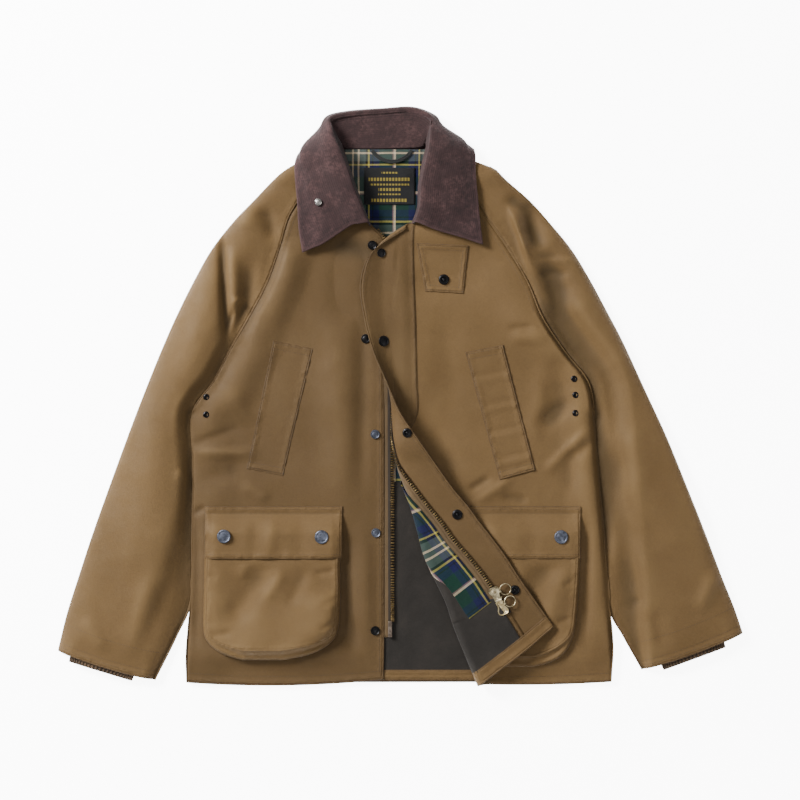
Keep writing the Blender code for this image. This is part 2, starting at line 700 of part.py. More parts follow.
def turned_linings():
    """Plaid facing, dark lining and hem band, on the inside that shows."""
    steps = [FACING_TURNS + k / 4 for k in range(1, 4)]
    turned_layer("facing_plaid", [12.3, 13, 13.33, 13.67, 14, 15] + steps + [16, 17, 18, 18.2],
                 lambda i: column_of(i, FACING_NEAR), facing_far, "plaid_lining")
    turned_layer("lining_turned_upper", steps[1:] + [16, 17, 18, 18.2],
                 lambda i: facing_far(i) + 0.12, lambda i: UNDER_ROLL, "dark_lining")
    turned_layer("lining_turned_lower", [18.22, 19, 19.45],
                 lambda i: column_of(i, LINING_NEAR), lambda i: UNDER_ROLL, "dark_lining")
    turned_layer("hem_band_turned", [19.47, 20.0], lambda i: column_of(i, 6.5),
                 lambda i: UNDER_ROLL, "waxed_khaki")


def zip_tapes():
    """The two tapes: one along the right front's edge, one along the turned edge."""
    edge = [(x + GAP, y) for _, _, x, y in FRONT_RIGHT[ZIP_FIRST_ROW:-1]]
    plan = [across((x, y), (ZIP_X - TAPE_NEAR, y), (0.0, 1.0)) for x, y in edge]
    laid("zip_tape_right", plan, lambda x, y: top_height(edge[-1][0], y) - TAPE_SUNK,
         THIN, "zip_tape")
    outer, inner = [], []
    for index in range(UNDERARM_ROW, ZIP_LAST_ROW + 1):
        row = TurnedRow(index)
        backs = [TAPE_NEAR, (TAPE_NEAR + TAPE_FAR) / 2, TAPE_FAR]
        outer.append([row.point(b, TAPE_SUNK - 0.5 + THIN) for b in backs])
        inner.append([row.point(b, TAPE_SUNK - 0.5) for b in backs])
    wall("zip_tape_left", outer, inner, "zip_tape")


def block(bm, centre, along, side, size):
    """A box in bm about centre, its length along one direction in plan."""
    made = bmesh.ops.create_cube(bm, size=1.0)["verts"]
    for vert in made:
        x, y, z = vert.co
        plan = centre.xy + along * x * size[0] + side * y * size[1]
        vert.co = Vector((*plan, centre.z + z * size[2]))
    return made


def zip_stop():
    """The retaining box at the foot of the right front's teeth."""
    bm = bmesh.new()
    top = top_height(-22, -315) - TAPE_SUNK
    centre = Vector((ZIP_X - 4.6, -316, top + GAP + STOP_SIZE[2] / 2))
    block(bm, centre, Vector((0, 1)), Vector((1, 0)), STOP_SIZE)
    bmesh.ops.bevel(bm, geom=list(bm.edges), offset=0.7, segments=1, affect="EDGES")
    add_object("zip_stop", bm, "brass")


def torus(bm, centre, axis, towards, major, minor, sides, around):
    """A ring of wire about an axis; towards is a direction in its plane."""
    other = axis.cross(towards)
    loops = []
    for i in range(sides):
        turn = 2 * math.pi * i / sides
        out = towards * math.cos(turn) + other * math.sin(turn)
        loops.append([bm.verts.new(centre + out * (major + minor * math.cos(a))
                                   + axis * (minor * math.sin(a)))
                      for a in [2 * math.pi * k / around for k in range(around)]])
    for a, b in zip(loops, loops[1:] + loops[:1]):
        for k in range(around):
            m = (k + 1) % around
            bm.faces.new((a[k], a[m], b[m], b[k]))


def slider_outline(sign):
    """Half of a slider's outline: along the zip from its wide end to its narrow end."""
    return [(-10.0 * sign, 3.5), (-8.5 * sign, 6.6), (-5.0 * sign, 7.6), (-1.0 * sign, 6.4),
            (4.0 * sign, SLIDER_HALF), (10.0 * sign, SLIDER_HALF - 0.4)]


def slider_seat():
    """The turned cloth's height under the sliders."""
    row = TurnedRow(18)
    return row.point(0.0, 0.0).z


def sliders_and_rings():
    """Two sliders set narrow end to narrow end, each with a ring pull in its eye."""
    along = Vector(SLIDER_ALONG).normalized()
    side = Vector((-along.y, along.x))
    seat = slider_seat() + SLIDER_LIFT
    axis = Vector((*along, 0))
    tilt = math.radians(RING_TILT)
    out = Vector((*side, 0)) * math.cos(tilt) - Vector((0, 0, 1)) * math.sin(tilt)
    for name, sign, offset, eye_at, eye_side in SLIDERS:
        centre = Vector(SLIDER_CENTRE) + along * offset
        bm = bmesh.new()
        half = slider_outline(sign)
        loop = half + [(a, -b) for a, b in half[::-1]]
        rings = [[bm.verts.new((*(centre + along * a + side * b), seat + h))
                  for a, b in loop] for h in (0.0, SLIDER_HEIGHT)]
        for k in range(len(loop)):
            m = (k + 1) % len(loop)
            bm.faces.new((rings[0][k], rings[0][m], rings[1][m], rings[1][k]))
        bm.faces.new(rings[0])
        bm.faces.new(rings[1])
        body = add_object(f"slider_{name}", bm, "brass")
        eye = Vector((*(Vector(SLIDER_CENTRE) + along * eye_at
                        + side * eye_side), seat + SLIDER_HEIGHT * 0.55))
        bm = bmesh.new()
        torus(bm, eye, axis, Vector((0, 0, 1)), EYE_MAJOR, EYE_MINOR, 14, 6)
        cutter = add_object(f"eye_{name}", bm, "brass")
        join = body.modifiers.new("eye", "BOOLEAN")
        join.operation = "UNION"
        join.object = cutter
        bpy.context.view_layer.update()
        graph = bpy.context.evaluated_depsgraph_get()
        body.data = bpy.data.meshes.new_from_object(body.evaluated_get(graph))
        body.modifiers.clear()
        bpy.data.objects.remove(cutter, do_unlink=True)
        bm = bmesh.new()
        torus(bm, eye + out * RING_MAJOR, axis.cross(out), out, RING_MAJOR, RING_MINOR,
              24, 6)
        add_object(f"pull_ring_{name}", bm, "brass")


# ---- sleeves ---------------------------------------------------------------------------------
def sleeve(side, table):
    """Two-piece raglan sleeve: an upper wall that rounds over, and a flat lower wall."""
    plan = [across(row[:2], row[2:], SLEEVE_SHARES, 4.0 if i == len(table) - 1 else 0.0)
            for i, row in enumerate(table)]
    laid(f"sleeve_{side}_front", plan, lambda x, y: top_height(x, y, True), WALL,
         "waxed_khaki")
    lower = []
    for i, row in enumerate(table):
        ends = inset_ends(row[:2], row[2:], 2.2)
        lower.append(across(*ends, (0.0, 0.33, 0.67, 1.0),
                            4.0 if i == len(table) - 1 else 0.0))
    laid(f"sleeve_{side}_back", lower, lambda x, y: WALL + neck_lift(y), WALL,
         "waxed_khaki")


CUFF_SECTIONS = [
    # distance along the sleeve from the cuff edge, half width, half height
    (-52.0, 46.0, 4.2),
    (-20.0, 47.0, 4.2),
    (10.0, 45.0, 4.2),
]
CUFF_POINTS = 16


def cuff_knit(side, table, shift):
    """A knitted inner cuff: a flat tube in the sleeve's mouth, open at both ends."""
    outer, inner = Vector(table[-1][:2]), Vector(table[-1][2:])
    across_cuff = (inner - outer).normalized()
    along = Vector((across_cuff.y, -across_cuff.x))
    if along.y > 0:
        along = -along
    middle = (outer + inner) / 2 + across_cuff * shift
    bm = bmesh.new()
    rings = []
    for wall_in in (0.0, WALL - 0.2):
        for distance, half, height in CUFF_SECTIONS:
            ring = []
            for k in range(CUFF_POINTS):
                angle = 2 * math.pi * k / CUFF_POINTS
                c, s = math.cos(angle), math.sin(angle)
                plan = middle + along * distance + across_cuff * ((half - wall_in) * c)
                z = WALL + GAP + height + (height - wall_in) * math.copysign(abs(s) ** 0.5, s)
                ring.append(bm.verts.new((*plan, z)))
            rings.append(ring)
    count = len(CUFF_SECTIONS)
    order = rings[:count] + rings[count:][::-1]
    for a, b in zip(order, order[1:] + order[:1]):
        for k in range(CUFF_POINTS):
            m = (k + 1) % CUFF_POINTS
            bm.faces.new((a[k], a[m], b[m], b[k]))
    add_object(f"cuff_knit_{side}", bm, "rib_knit")


# ---- collar --------------------------------------------------------------------------------------
def collar():
    """Corduroy collar: the stand inside the roll, and the leaf folded over outside it."""
    leaf, stand = [], []
    count = len(COLLAR)
    for i, row in enumerate(COLLAR):
        roll, near, far, edge = (Vector(row[k:k + 3]) for k in (0, 3, 6, 9))
        neck = Vector((row[12], row[13]))
        back_row = 6 <= i <= count - 7
        base = (WALL + neck_lift(neck.y) + 0.5 if back_row
                else top_height(*neck) + GAP + 0.2) + WALL / 2
        neck3 = Vector((*neck, base))
        turn_under = far.lerp(edge, 0.5)
        if edge.z < WALL:
            turn_under = Vector((*far.xy.lerp(edge.xy, 0.2), edge.z + 0.5))
        leaf.append([roll, roll.lerp(near, 0.5) + Vector((0, 0, 1.0)), near,
                     far, turn_under, edge])
        towards = (neck3 - roll).normalized()
        top = roll + towards * (WALL + 0.8) - Vector((0, 0, 0.6))
        stand.append([top, top.lerp(neck3, 0.35), top.lerp(neck3, 0.7), neck3])
    skin("collar_leaf", leaf, WALL, "corduroy_brown")
    skin("collar_stand", stand, WALL, "corduroy_brown")


# ---- pockets and tab --------------------------------------------------------------------------
def patch(name, corners, thickness, material, rise=EASE, rows=5, columns=3):
    """A flat patch on the front between four corners."""
    a, b, c, d = corners
    plan = []
    for i in range(rows):
        left = (lerp(a[0], d[0], i / (rows - 1)), lerp(a[1], d[1], i / (rows - 1)))
        right = (lerp(b[0], c[0], i / (rows - 1)), lerp(b[1], c[1], i / (rows - 1)))
        plan.append(across(left, right, [k / (columns - 1) for k in range(columns)]))
    laid(name, plan, lambda x, y: top_height(x, y) + rise + thickness, thickness, material)


def bag_rise(x, y, rows):
    """How far the bellows pocket stands out at a point, from its sides and bottom."""
    outline = ([(r[1], r[0]) for r in rows] + [(r[2], r[0]) for r in rows[::-1]])
    share = min(line_distance(x, y, outline) / BAG_EDGE, 1.0)
    return BAG_RISE * math.sqrt(1 - (1 - share) ** 2)


def bellows(side, rows):
    """A bellows pocket: bag with gusset, and its flap with a sewn upper edge."""
    plan = [across((x1, y), (x2, y), (0.0, 0.018, 0.06, 0.35, 0.65, 0.94, 0.982, 1.0))
            for y, x1, x2 in rows]
    last_y, last_1, last_2 = rows[-1]
    near_foot = across((lerp(last_1, last_2, 0.02), last_y + 3.0),
                       (lerp(last_2, last_1, 0.02), last_y + 3.0),
                       (0.0, 0.02, 0.06, 0.35, 0.65, 0.94, 0.98, 1.0))
    plan.insert(-1, near_foot)
    laid(f"pocket_bag_{side}", plan,
         lambda x, y: top_height(x, y) + EASE + WALL + bag_rise(x, y, rows),
         WALL, "waxed_khaki")
    flap = []
    lifts = {}
    for y, inset, share in FLAP_ROWS:
        x1, x2 = rows[0][1], rows[0][2]
        sign = 1 if x2 > x1 else -1
        line = across((x1 + sign * inset, y), (x2 - sign * inset, y),
                      (0.0, 0.2, 0.4, 0.6, 0.8, 1.0))
        flap.append(line)
        lifts[y] = share
    over = BAG_RISE + WALL + GAP + 0.2
    laid(f"pocket_flap_{side}", flap,
         lambda x, y: top_height(x, y) + EASE + WALL + over * lifts[y],
         WALL, "waxed_khaki")


def throat_tab():
    """The small tab below the collar, sewn at its top and buttoned at its foot."""
    patch("throat_tab", [(23, 212), (94, 209), (87, 144), (35, 147)], WALL,
          "waxed_khaki", rows=4, columns=4)


# ---- fasteners -----------------------------------------------------------------------------------
def turned_disc(name, profile, centre, material, axis=Vector((0, 0, 1)), sides=12):
    """A round piece from a profile of (radius, height), closed at both ends."""
    bm = bmesh.new()
    turn = Vector((0, 0, 1)).rotation_difference(axis).to_matrix()
    rings = [[bm.verts.new(centre + turn @ Vector((r * math.cos(2 * math.pi * k / sides),
                                                   r * math.sin(2 * math.pi * k / sides), h)))
              for k in range(sides)] for r, h in profile]
    for a, b in zip(rings, rings[1:]):
        for k in range(sides):
            m = (k + 1) % sides
            bm.faces.new((a[k], a[m], b[m], b[k]))
    bm.faces.new(rings[0])
    bm.faces.new(rings[-1])
    add_object(name, bm, material)


def cap_profile(radius, height):
    """A snap cap: upright rim, rounded shoulder, slightly sunk middle."""
    return [(radius, 0.0), (radius, height * 0.5), (radius * 0.86, height),
            (radius * 0.55, height * 0.8)]


def highest(x, y, radius, rule):
    """The highest point of a surface under a disc."""
    return max(rule(x + radius * math.cos(a), y + radius * math.sin(a))
               for a in [k * math.pi / 4 for k in range(8)] + [0.0])


def fasteners():
    """Studs, pocket snaps, tab snap, collar stud, flap snaps and eyelets."""
    for name, x, y, radius, height, seat in FASTENERS:
        lift = 0.25
        if seat == "flap":
            lift = EASE + WALL + BAG_RISE + WALL + GAP + 0.2 + 0.25
        z = highest(x, y, radius, top_height) + lift
        turned_disc(name, cap_profile(radius, height), Vector((x, y, z)), "dark_steel")
    leaf_stud()
    z = highest(60, 163, 7.0, top_height) + EASE + WALL + 0.25
    turned_disc("tab_snap", cap_profile(7.0, 2.2), Vector((60, 163, z)), "dark_steel")
    for name, index, share, radius in FLAP_SNAPS:
        here = flap_point(index, share)
        side_step = flap_point(index, share + 0.04) - here
        row_step = flap_point(index + 0.04, share) - here
        axis = side_step.cross(row_step).normalized()
        if axis.z < 0:
            axis = -axis
        turned_disc(name, cap_profile(radius, 2.0), here + axis * (WALL / 2 + 1.0),
                    "dark_steel", axis)
    for name, x, y in EYELETS:
        z = highest(x, y, EYELET_OUTER, top_height) + 0.25
        ring(name, Vector((x, y, z)))


def leaf_stud():
    """The small stud on the collar leaf, over its upper face."""
    first, second = [Vector(COLLAR[i][3:6]).lerp(Vector(COLLAR[i][6:9]), 0.78) for i in (1, 2)]
    centre = first.lerp(second, 0.72)
    across_leaf = Vector(COLLAR[1][6:9]) - Vector(COLLAR[1][3:6])
    axis = across_leaf.cross(second - first).normalized()
    if axis.z < 0:
        axis = -axis
    turned_disc("collar_stud", cap_profile(4.6, 1.8), centre + axis * (WALL / 2 + 0.6),
                "dark_steel", axis)


def ring(name, centre, sides=12):
    """A flat eyelet with a hole through it."""
    bm = bmesh.new()
    profile = [(EYELET_OUTER, 0.0), (EYELET_OUTER - 0.6, EYELET_HEIGHT),
               (EYELET_INNER, EYELET_HEIGHT), (EYELET_INNER, 0.0)]
    loops = [[bm.verts.new(centre + Vector((r * math.cos(2 * math.pi * k / sides),
                                            r * math.sin(2 * math.pi * k / sides), h)))
              for k in range(sides)] for r, h in profile]
    for a, b in zip(loops, loops[1:] + loops[:1]):
        for k in range(sides):
            m = (k + 1) % sides
            bm.faces.new((a[k], a[m], b[m], b[k]))
    add_object(name, bm, "dark_steel")


def main():
    clear_scene()
    back_panel()
    front_right()
    back_inside()
    front_left()
    storm_flap()
    turned_linings()
    zip_tapes()
    zip_stop()
    sliders_and_rings()
    sleeve("right", SLEEVE_RIGHT)
    sleeve("left", SLEEVE_LEFT)
    cuff_knit("right", SLEEVE_RIGHT, -4.0)
    cuff_knit("left", SLEEVE_LEFT, 2.0)
    collar()
    for name, corners in HAND_WARMERS.items():
        patch(name, corners, WALL, "waxed_khaki")
    bellows("right", BAG_ROWS)
    bellows("left", BAG_ROWS_LEFT)
    throat_tab()
    fasteners()


main()
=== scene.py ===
"""Dresses the waxed jacket: thin cloth with its creases, seams, zip and snaps, and a studio.

The jacket lies open on its back, collar towards +Y.  Tables are in millimetres and follow
the outlines of the solids; a smooth curve runs through each table's rows, one height rule
lifts every layer, and the creases listed below are shared by the layers that lie
on each other.
"""
from __future__ import annotations

import sys

import logging
import math
from dataclasses import dataclass, field
from enum import Enum
from typing import Callable, Iterable, Sequence

import bmesh
import bpy
import numpy as np
from mathutils import Matrix, Vector


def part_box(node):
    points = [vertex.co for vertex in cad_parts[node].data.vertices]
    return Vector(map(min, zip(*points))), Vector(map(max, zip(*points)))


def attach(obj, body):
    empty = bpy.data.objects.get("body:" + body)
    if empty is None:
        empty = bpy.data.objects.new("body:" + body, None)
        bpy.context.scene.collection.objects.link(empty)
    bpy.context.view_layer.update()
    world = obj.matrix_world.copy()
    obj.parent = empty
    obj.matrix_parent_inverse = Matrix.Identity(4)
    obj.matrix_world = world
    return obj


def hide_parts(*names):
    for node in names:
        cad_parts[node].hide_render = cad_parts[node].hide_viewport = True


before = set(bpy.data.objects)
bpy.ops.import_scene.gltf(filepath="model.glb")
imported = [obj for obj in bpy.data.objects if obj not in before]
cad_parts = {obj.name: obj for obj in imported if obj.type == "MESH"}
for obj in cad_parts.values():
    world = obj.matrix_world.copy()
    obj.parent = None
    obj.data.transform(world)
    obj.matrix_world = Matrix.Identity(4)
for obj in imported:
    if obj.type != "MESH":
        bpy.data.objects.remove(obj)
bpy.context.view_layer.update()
LOG = logging.getLogger("waxed_jacket")

MM = 0.001
Grid = np.ndarray
Height = Callable[[Grid], Grid]

# ---- sizes shared by the cloth pieces, mm ----------------------------------------------
CLOTH = 1.3             # waxed cotton, turned in at its edges
THIN = 0.8              # lining, tape and label
LAYER = 1.8             # room that a layer of body cloth takes
GAP = 0.3               # air at a seam
EASE = 0.5              # air between a layer and what lies on it
BODY_RISE = 7.6         # top of the fronts where they lie flat
SLEEVE_RISE = 6.5       # how much higher the crest of a sleeve is
SLEEVE_EASE = 60.0      # distance over which a sleeve rises to its crest
SIDE_EDGE = 3.9         # top of the cloth at a side fold
FREE_EDGE = 5.6         # top of the cloth at the zip and the hem
CUFF_EDGE = 12.9        # top of the cloth at the mouth of a sleeve
NECK_LIFT = 2.2         # how far the collar's foot lifts what lies on it
NECK_LIFT_FROM, NECK_LIFT_TO = 285.0, 308.0
ROLL = 6.2              # radius of the left front's roll
ROLL_EASE = 1.3         # air between the layers in the roll
ZIP_X = -10.0           # line of the zip
FREE_X = -22.0          # free edge of the right front
FACING_NEAR, FACING_FAR = 11.0, 47.0
BAG_RISE = 7.0          # fullness of a pocket
BAG_EDGE = 9.0          # distance over which a pocket rises
LEFT_BAG_FULL = 0.75    # the left pocket is flatter than the right
FLAP_RISE = BAG_RISE + LAYER + GAP + 0.2    # a pocket flap over its bag
FLAP_SEAM_Y, FLAP_HEM_Y = -157.5, -213.0    # rows of stitching on a pocket flap
BAG_FOOT = (318.0, 345.0)   # where a bag rounds in to its lower end, as -y
HEM_BOW, HEM_BOW_LEFT = 6.0, 2.0            # how far a front's hem bows down
BOWED_ROWS = 12         # rows of the mesh over which a hem or a mouth bows
FAR = 99.0              # stands for no edge near
STEP = 3.2              # spacing of the mesh along the cloth

# ---- the cut, mm -----------------------------------------------------------------------
TORSO = (
    # right_x, right_y, left_x, left_y
    (-92, 340, 47, 340), (-112, 310, 70, 310), (-128, 285, 90, 285),
    (-140, 266, 107, 265), (-152, 244, 120, 244), (-163, 208, 145, 208),
    (-180, 159, 174, 159), (-205, 111, 194, 111), (-232, 65, 224, 65),
    (-254, 23, 256, 23), (-284, -21, 265, -27), (-283, -144, 275, -147),
    (-286, -278, 286, -280), (-291, -389, 288, -388),
)
FRONT_RIGHT = (
    # side_x, side_y, front_x, front_y
    (-92, 340, -81, 340), (-112, 310, -70, 310), (-128, 285, -62, 285),
    (-140, 266, -53, 263), (-152, 244, -40, 239), (-163, 208, -19, 213),
    (-180, 159, -22, 159), (-205, 111, -22, 111), (-232, 65, -22, 65),
    (-254, 23, -22, 23), (-284, -21, -22, -21), (-283, -84, -22, -84),
    (-283, -144, -22, -144), (-284, -207, -22, -207), (-286, -278, -22, -278),
    (-291, -344, -22, -344), (-291, -389, -23, -385),
)
FRONT_LEFT = (
    # side_x, side_y, fold_x, fold_y, turn, zip_x, zip_y
    (47, 340, 29, 340, 0, 29, 340), (70, 310, 30, 310, 0, 30, 310),
    (90, 285, 27, 285, 0, 27, 285), (107, 265, 20, 260, 0, 20, 260),
    (120, 244, 11, 239, 0, 11, 239), (145, 208, -5, 217, 0, -5, 217),
    (174, 159, -10, 159, 0, -10, 159), (194, 111, -10, 111, 0, -10, 111),
    (224, 65, -10, 65, 0, -10, 65), (256, 23, -10, 23, 0, -10, 23),
    (265, -27, -10, -21, 0, -10, -21), (268, -64, -8, -64, 80, -8, -64),
    (271, -98, -1, -98, 150, -1, -98), (275, -147, 18, -147, 180, 33, -140),
    (278, -182, 28, -182, 180, 55, -167), (280, -215, 37, -215, 180, 72, -191),
    (284, -248, 52, -248, 180, 93, -215), (286, -280, 67, -280, 180, 113, -240),
    (288, -311, 77, -311, 180, 130, -265), (290, -344, 90, -344, 180, 150, -292),
    (288, -388, 111, -394, 180, 178, -338),
)
STORM_FLAP = (
    # edge_x, edge_y, edge_z above the front, lean, seam back from the zip line
    (8, 231, 2.4, 0, 10), (-38, 200, 2.7, 0, 24), (-54, 159, 2.7, 0, 30), (-49, 111, 4.0, 2, 32),
    (-37, 66, 11.5, 6, 33), (-19, 24, 20.0, 34, 34), (1, -20, 25.0, 72, 34),
    (27, -58, 24.0, 80, 14), (48, -88, 19.0, 20, 7), (72, -122, 15.0, 8, 5.4),
    (93, -147, 13.0, 2, 5.4), (109, -169, 12.4, 0, 5.4), (124, -188, 12.4, 0, 5.4),
    (144, -215, 12.4, 0, 5.4), (160, -240, 12.4, 0, 5.4), (180, -269, 12.0, 0, 5.4),
    (210, -311, 11.0, 0, 5.4),
)
FLAP_TOP_ROW = 4
FOLDED_ROW = 13
FACING_TURNS = 15
UNDERARM_ROW = 10
SLEEVE_RIGHT = (
    # outer_x, outer_y, inner_x, inner_y
    (-101, 345, -94, 340), (-130, 329, -115, 310), (-156, 314, -131, 285),
    (-174, 299, -143, 266), (-201, 271, -155, 244), (-227, 244, -165, 208),
    (-257, 206, -183, 159), (-280, 166, -208, 111), (-306, 114, -235, 65),
    (-328, 64, -257, 23), (-349, 12, -286, -21), (-369, -40, -286, -68),
    (-395, -111, -286, -128), (-420, -181, -287, -193), (-442, -248, -288, -275),
    (-457, -296, -309, -327), (-469, -345, -338, -385),
)
SLEEVE_LEFT = (
    # outer_x, outer_y, inner_x, inner_y
    (55, 345, 49, 340), (90, 330, 72, 310), (128, 315, 93, 285),
    (146, 299, 110, 265), (178, 271, 123, 244), (206, 240, 148, 208),
    (236, 203, 176, 159), (261, 162, 197, 111), (283, 121, 227, 65),
    (306, 77, 258, 23), (335, 14, 267, -27), (365, -51, 271, -84),
    (392, -117, 278, -146), (417, -180, 284, -207), (440, -241, 288, -284),
    (458, -286, 309, -327), (470, -321, 334, -371),
)
COLLAR = (
    # roll x y z, near x y z, far x y z, edge x y z, neck x y
    (-45, 241, 22, -68, 236, 20, -103, 213, 17, -133, 200, 14, -40, 236),
    (-56, 265, 25, -82, 255, 23, -112, 241, 19, -138, 232, 14, -50, 262),
    (-66, 289, 27, -92, 282, 25, -119, 275, 20, -140, 267, 14, -59, 286),
    (-75, 316, 28, -100, 311, 25, -123, 307, 20, -143, 301, 13, -68, 313),
    (-85, 340, 27, -107, 336, 24, -133, 333, 17, -143, 325, 10, -76, 336),
    (-92, 356, 25, -112, 352, 19, -130, 349, 9, -132, 338, 0.95, -79, 345),
    (-95, 371, 22, -109, 369, 14, -113, 367, 4, -100, 316, 0.95, -80, 349),
    (-95, 384, 17, -100, 386, 9, -96, 382, 2, -81, 314, 0.95, -76, 345),
    (-71, 391, 13, -72, 393.5, 6, -71, 390, 0.95, -61, 313, 0.95, -65, 343),
    (-25, 395, 12, -25, 397, 6, -25, 394, 0.95, -23, 312, 0.95, -25, 343),
    (16, 397, 13, 17, 399, 6, 16, 396, 0.95, 16, 314, 0.95, 16, 344),
    (42, 386, 17, 47, 388, 9, 43, 384, 2, 33, 315, 0.95, 31, 346),
    (43, 371, 22, 56, 375, 14, 60, 371, 4, 50, 319, 0.95, 35, 350),
    (43, 356, 25, 65, 360, 19, 83, 357, 9, 94, 341, 0.95, 36, 346),
    (41, 340, 27, 63, 340, 24, 87, 343, 17, 102.5, 336, 10, 34, 337),
    (36, 316, 28, 59, 314, 25, 81, 312, 20, 103, 309, 13, 29, 315),
    (31, 289, 27, 56, 285, 25, 81, 280, 20, 106, 274, 14, 25, 288),
    (30, 263, 25, 56, 258, 23, 82, 249, 19, 109, 243, 14, 24, 262),
    (23, 241, 22, 50, 230, 20, 82, 221, 17, 113, 211, 14, 16, 239),
)
FOLDS = (
    # largest folds of the sleeves: x1, y1, x2, y2, height, half width
    (-236, 205, -232, 70, -4.0, 13), (-262, 160, -300, -20, 3.0, 24),
    (-330, -60, -372, -210, 3.5, 26), (178, 225, 200, 150, -1.0, 13),
    (215, 190, 300, 60, 3.0, 24), (320, -60, 372, -190, 3.5, 26),
    (182, 172, 240, 183, 0.6, 12),
)
HAND_WARMERS = {
    "handwarmer_right": ((-173, 79), (-119, 68), (-160, -106), (-210, -96)),
    "handwarmer_left": ((90, 63), (141, 73), (185, -98), (137, -111)),
}
THROAT_TAB = ((23, 212), (94, 209), (87, 144), (35, 147))
BAG_RIGHT = (
    # y, near_side_x, near_front_x
    (-173, -267, -79), (-222, -268, -81), (-275, -269, -81), (-318, -269, -85),
    (-337, -260, -98), (-350, -241, -123), (-358, -216, -160),
)
BAG_LEFT = (
    # y, near_side_x, near_front_x
    (-173, 247, 71), (-222, 247, 75), (-275, 244, 81), (-319, 239, 91),
    (-346, 227, 106), (-360, 208, 124), (-367, 183, 144),
)
POCKET_FLAP = (
    # y, inset at each end
    (-148, 0.0), (-157, 0.0), (-169, 0.5), (-200, 0.5), (-219, 1.0),
)


# ---- curves and distances --------------------------------------------------------------
def spline(rows: Sequence[Sequence[float]] | Grid, at: Grid | float) -> Grid:
    """Read a table at fractional rows, on a smooth curve through its rows.

    Args:
        rows: The table, a row for each station.
        at: Row numbers, whole or not.

    Returns:
        One row of values for each number in at.
    """
    table = np.asarray(rows, float)
    at = np.clip(np.asarray(at, float), 0, len(table) - 1)
    low = np.minimum(at.astype(int), len(table) - 2)
    share = (at - low).reshape(at.shape + (1,) * (table.ndim - 1))
    a, b, c, d = (table[np.clip(low + k, 0, len(table) - 1)] for k in (-1, 0, 1, 2))
    return b + 0.5 * share * (c - a + share * (2 * a - 5 * b + 4 * c - d
                                               + share * (3 * (b - c) + d - a)))


def ease(value: Grid, start: float, end: float) -> Grid:
    """Rise from 0 at start to 1 at end with no corner at either."""
    share = np.clip((np.asarray(value, float) - start) / (end - start), 0.0, 1.0)
    return share * share * (3 - 2 * share)


def distance(xy: Grid, line: Sequence[Sequence[float]] | Grid) -> Grid:
    """Measure how far plan points are from a line through points."""
    line = np.asarray(line, float)
    best = np.full(xy.shape[:-1], np.inf)
    for a, b in zip(line, line[1:]):
        span = b - a
        length = float(span @ span) or 1e-9
        share = np.clip(((xy - a) @ span) / length, 0.0, 1.0)
        best = np.minimum(best, np.linalg.norm(xy - a - share[..., None] * span, axis=-1))
    return best


def run_along(grid: Grid, axis: int) -> Grid:
    """Distance along each line of a grid from the line's first point."""
    first = np.take(grid, [0], axis=axis)
    return np.cumsum(np.linalg.norm(np.diff(grid, axis=axis, prepend=first), axis=-1),
                     axis=axis)


def stations(line: Grid, step: float) -> Grid:
    """Number the rows of a table so that their spacing along a line is even.

    Args:
        line: One point of the line for each row of the table.
        step: Spacing wanted, in millimetres.

    Returns:
        Fractional row numbers from the first row to the last.
    """
    run = run_along(np.asarray(line, float), 0)
    count = max(int(round(run[-1] / step)), 2)
    return np.interp(np.linspace(0, run[-1], count + 1), run, np.arange(len(run)))


def shares(width: float, step: float = STEP,
           rim: Sequence[float] = (0.5, 1.4, 2.6, 4.2)) -> Grid:
    """Space points across a panel, closer together by its two edges."""
    inner = np.linspace(rim[-1] + 2.0, width - rim[-1] - 2.0, max(int(width / step), 3))
    near = np.concatenate([[0.0], rim])
    return np.concatenate([near, inner, width - near[::-1]]) / width


def arch(share: Grid) -> Grid:
    """Rise from 0 at a share of 0 to 1 at its middle, and fall to 0 at 1."""
    return 4 * share * (1 - share)


def unit(vectors: Grid) -> Grid:
    """Scale vectors to length one."""
    return vectors / np.maximum(np.linalg.norm(vectors, axis=-1, keepdims=True), 1e-9)


# ---- the height rule -------------------------------------------------------------------
def side_of(table: Sequence[Sequence[float]], first: int, last: int, column: int) -> Grid:
    """Read one outline of a table as plan points, refined along its smooth curve."""
    at = np.arange(first, last - 0.99, 0.25)
    return spline(table, at)[:, column:column + 2]


ARMHOLE = {-1: side_of(FRONT_RIGHT, 0, 11, 0), 1: side_of(FRONT_LEFT, 0, 11, 0)}
SIDE = {-1: side_of(FRONT_RIGHT, 10, 17, 0), 1: side_of(FRONT_LEFT, 10, 21, 0)}
EDGES = (
    # line, height at the edge, reach, True where the cloth rounds over a fold
    (side_of(SLEEVE_RIGHT, 0, 17, 0), SIDE_EDGE, 36.0, True),
    (side_of(SLEEVE_LEFT, 0, 17, 0), SIDE_EDGE, 36.0, True),
    (SIDE[-1], SIDE_EDGE, 6.0, True),
    (SIDE[1], SIDE_EDGE, 5.0, True),
    (side_of(SLEEVE_RIGHT, 10, 17, 2), SIDE_EDGE, 26.0, True),
    (side_of(SLEEVE_LEFT, 10, 17, 2), SIDE_EDGE, 26.0, True),
    (side_of(FRONT_RIGHT, 10, 17, 2), FREE_EDGE, 40.0, False),
    (side_of(FRONT_LEFT, 10, 21, 2), FREE_EDGE, 40.0, False),
    (((-291, -389), (-23, -385)), FREE_EDGE, 60.0, False),
    (((288, -388), (111, -394)), FREE_EDGE, 60.0, False),
    (((-469, -345), (-338, -385)), CUFF_EDGE, 40.0, False),
    (((470, -321), (334, -371)), CUFF_EDGE, 40.0, False),
)


def neck_lift(y: Grid) -> Grid:
    """How far the collar under the neck lifts what lies on it."""
    return NECK_LIFT * ease(y, NECK_LIFT_FROM, NECK_LIFT_TO)


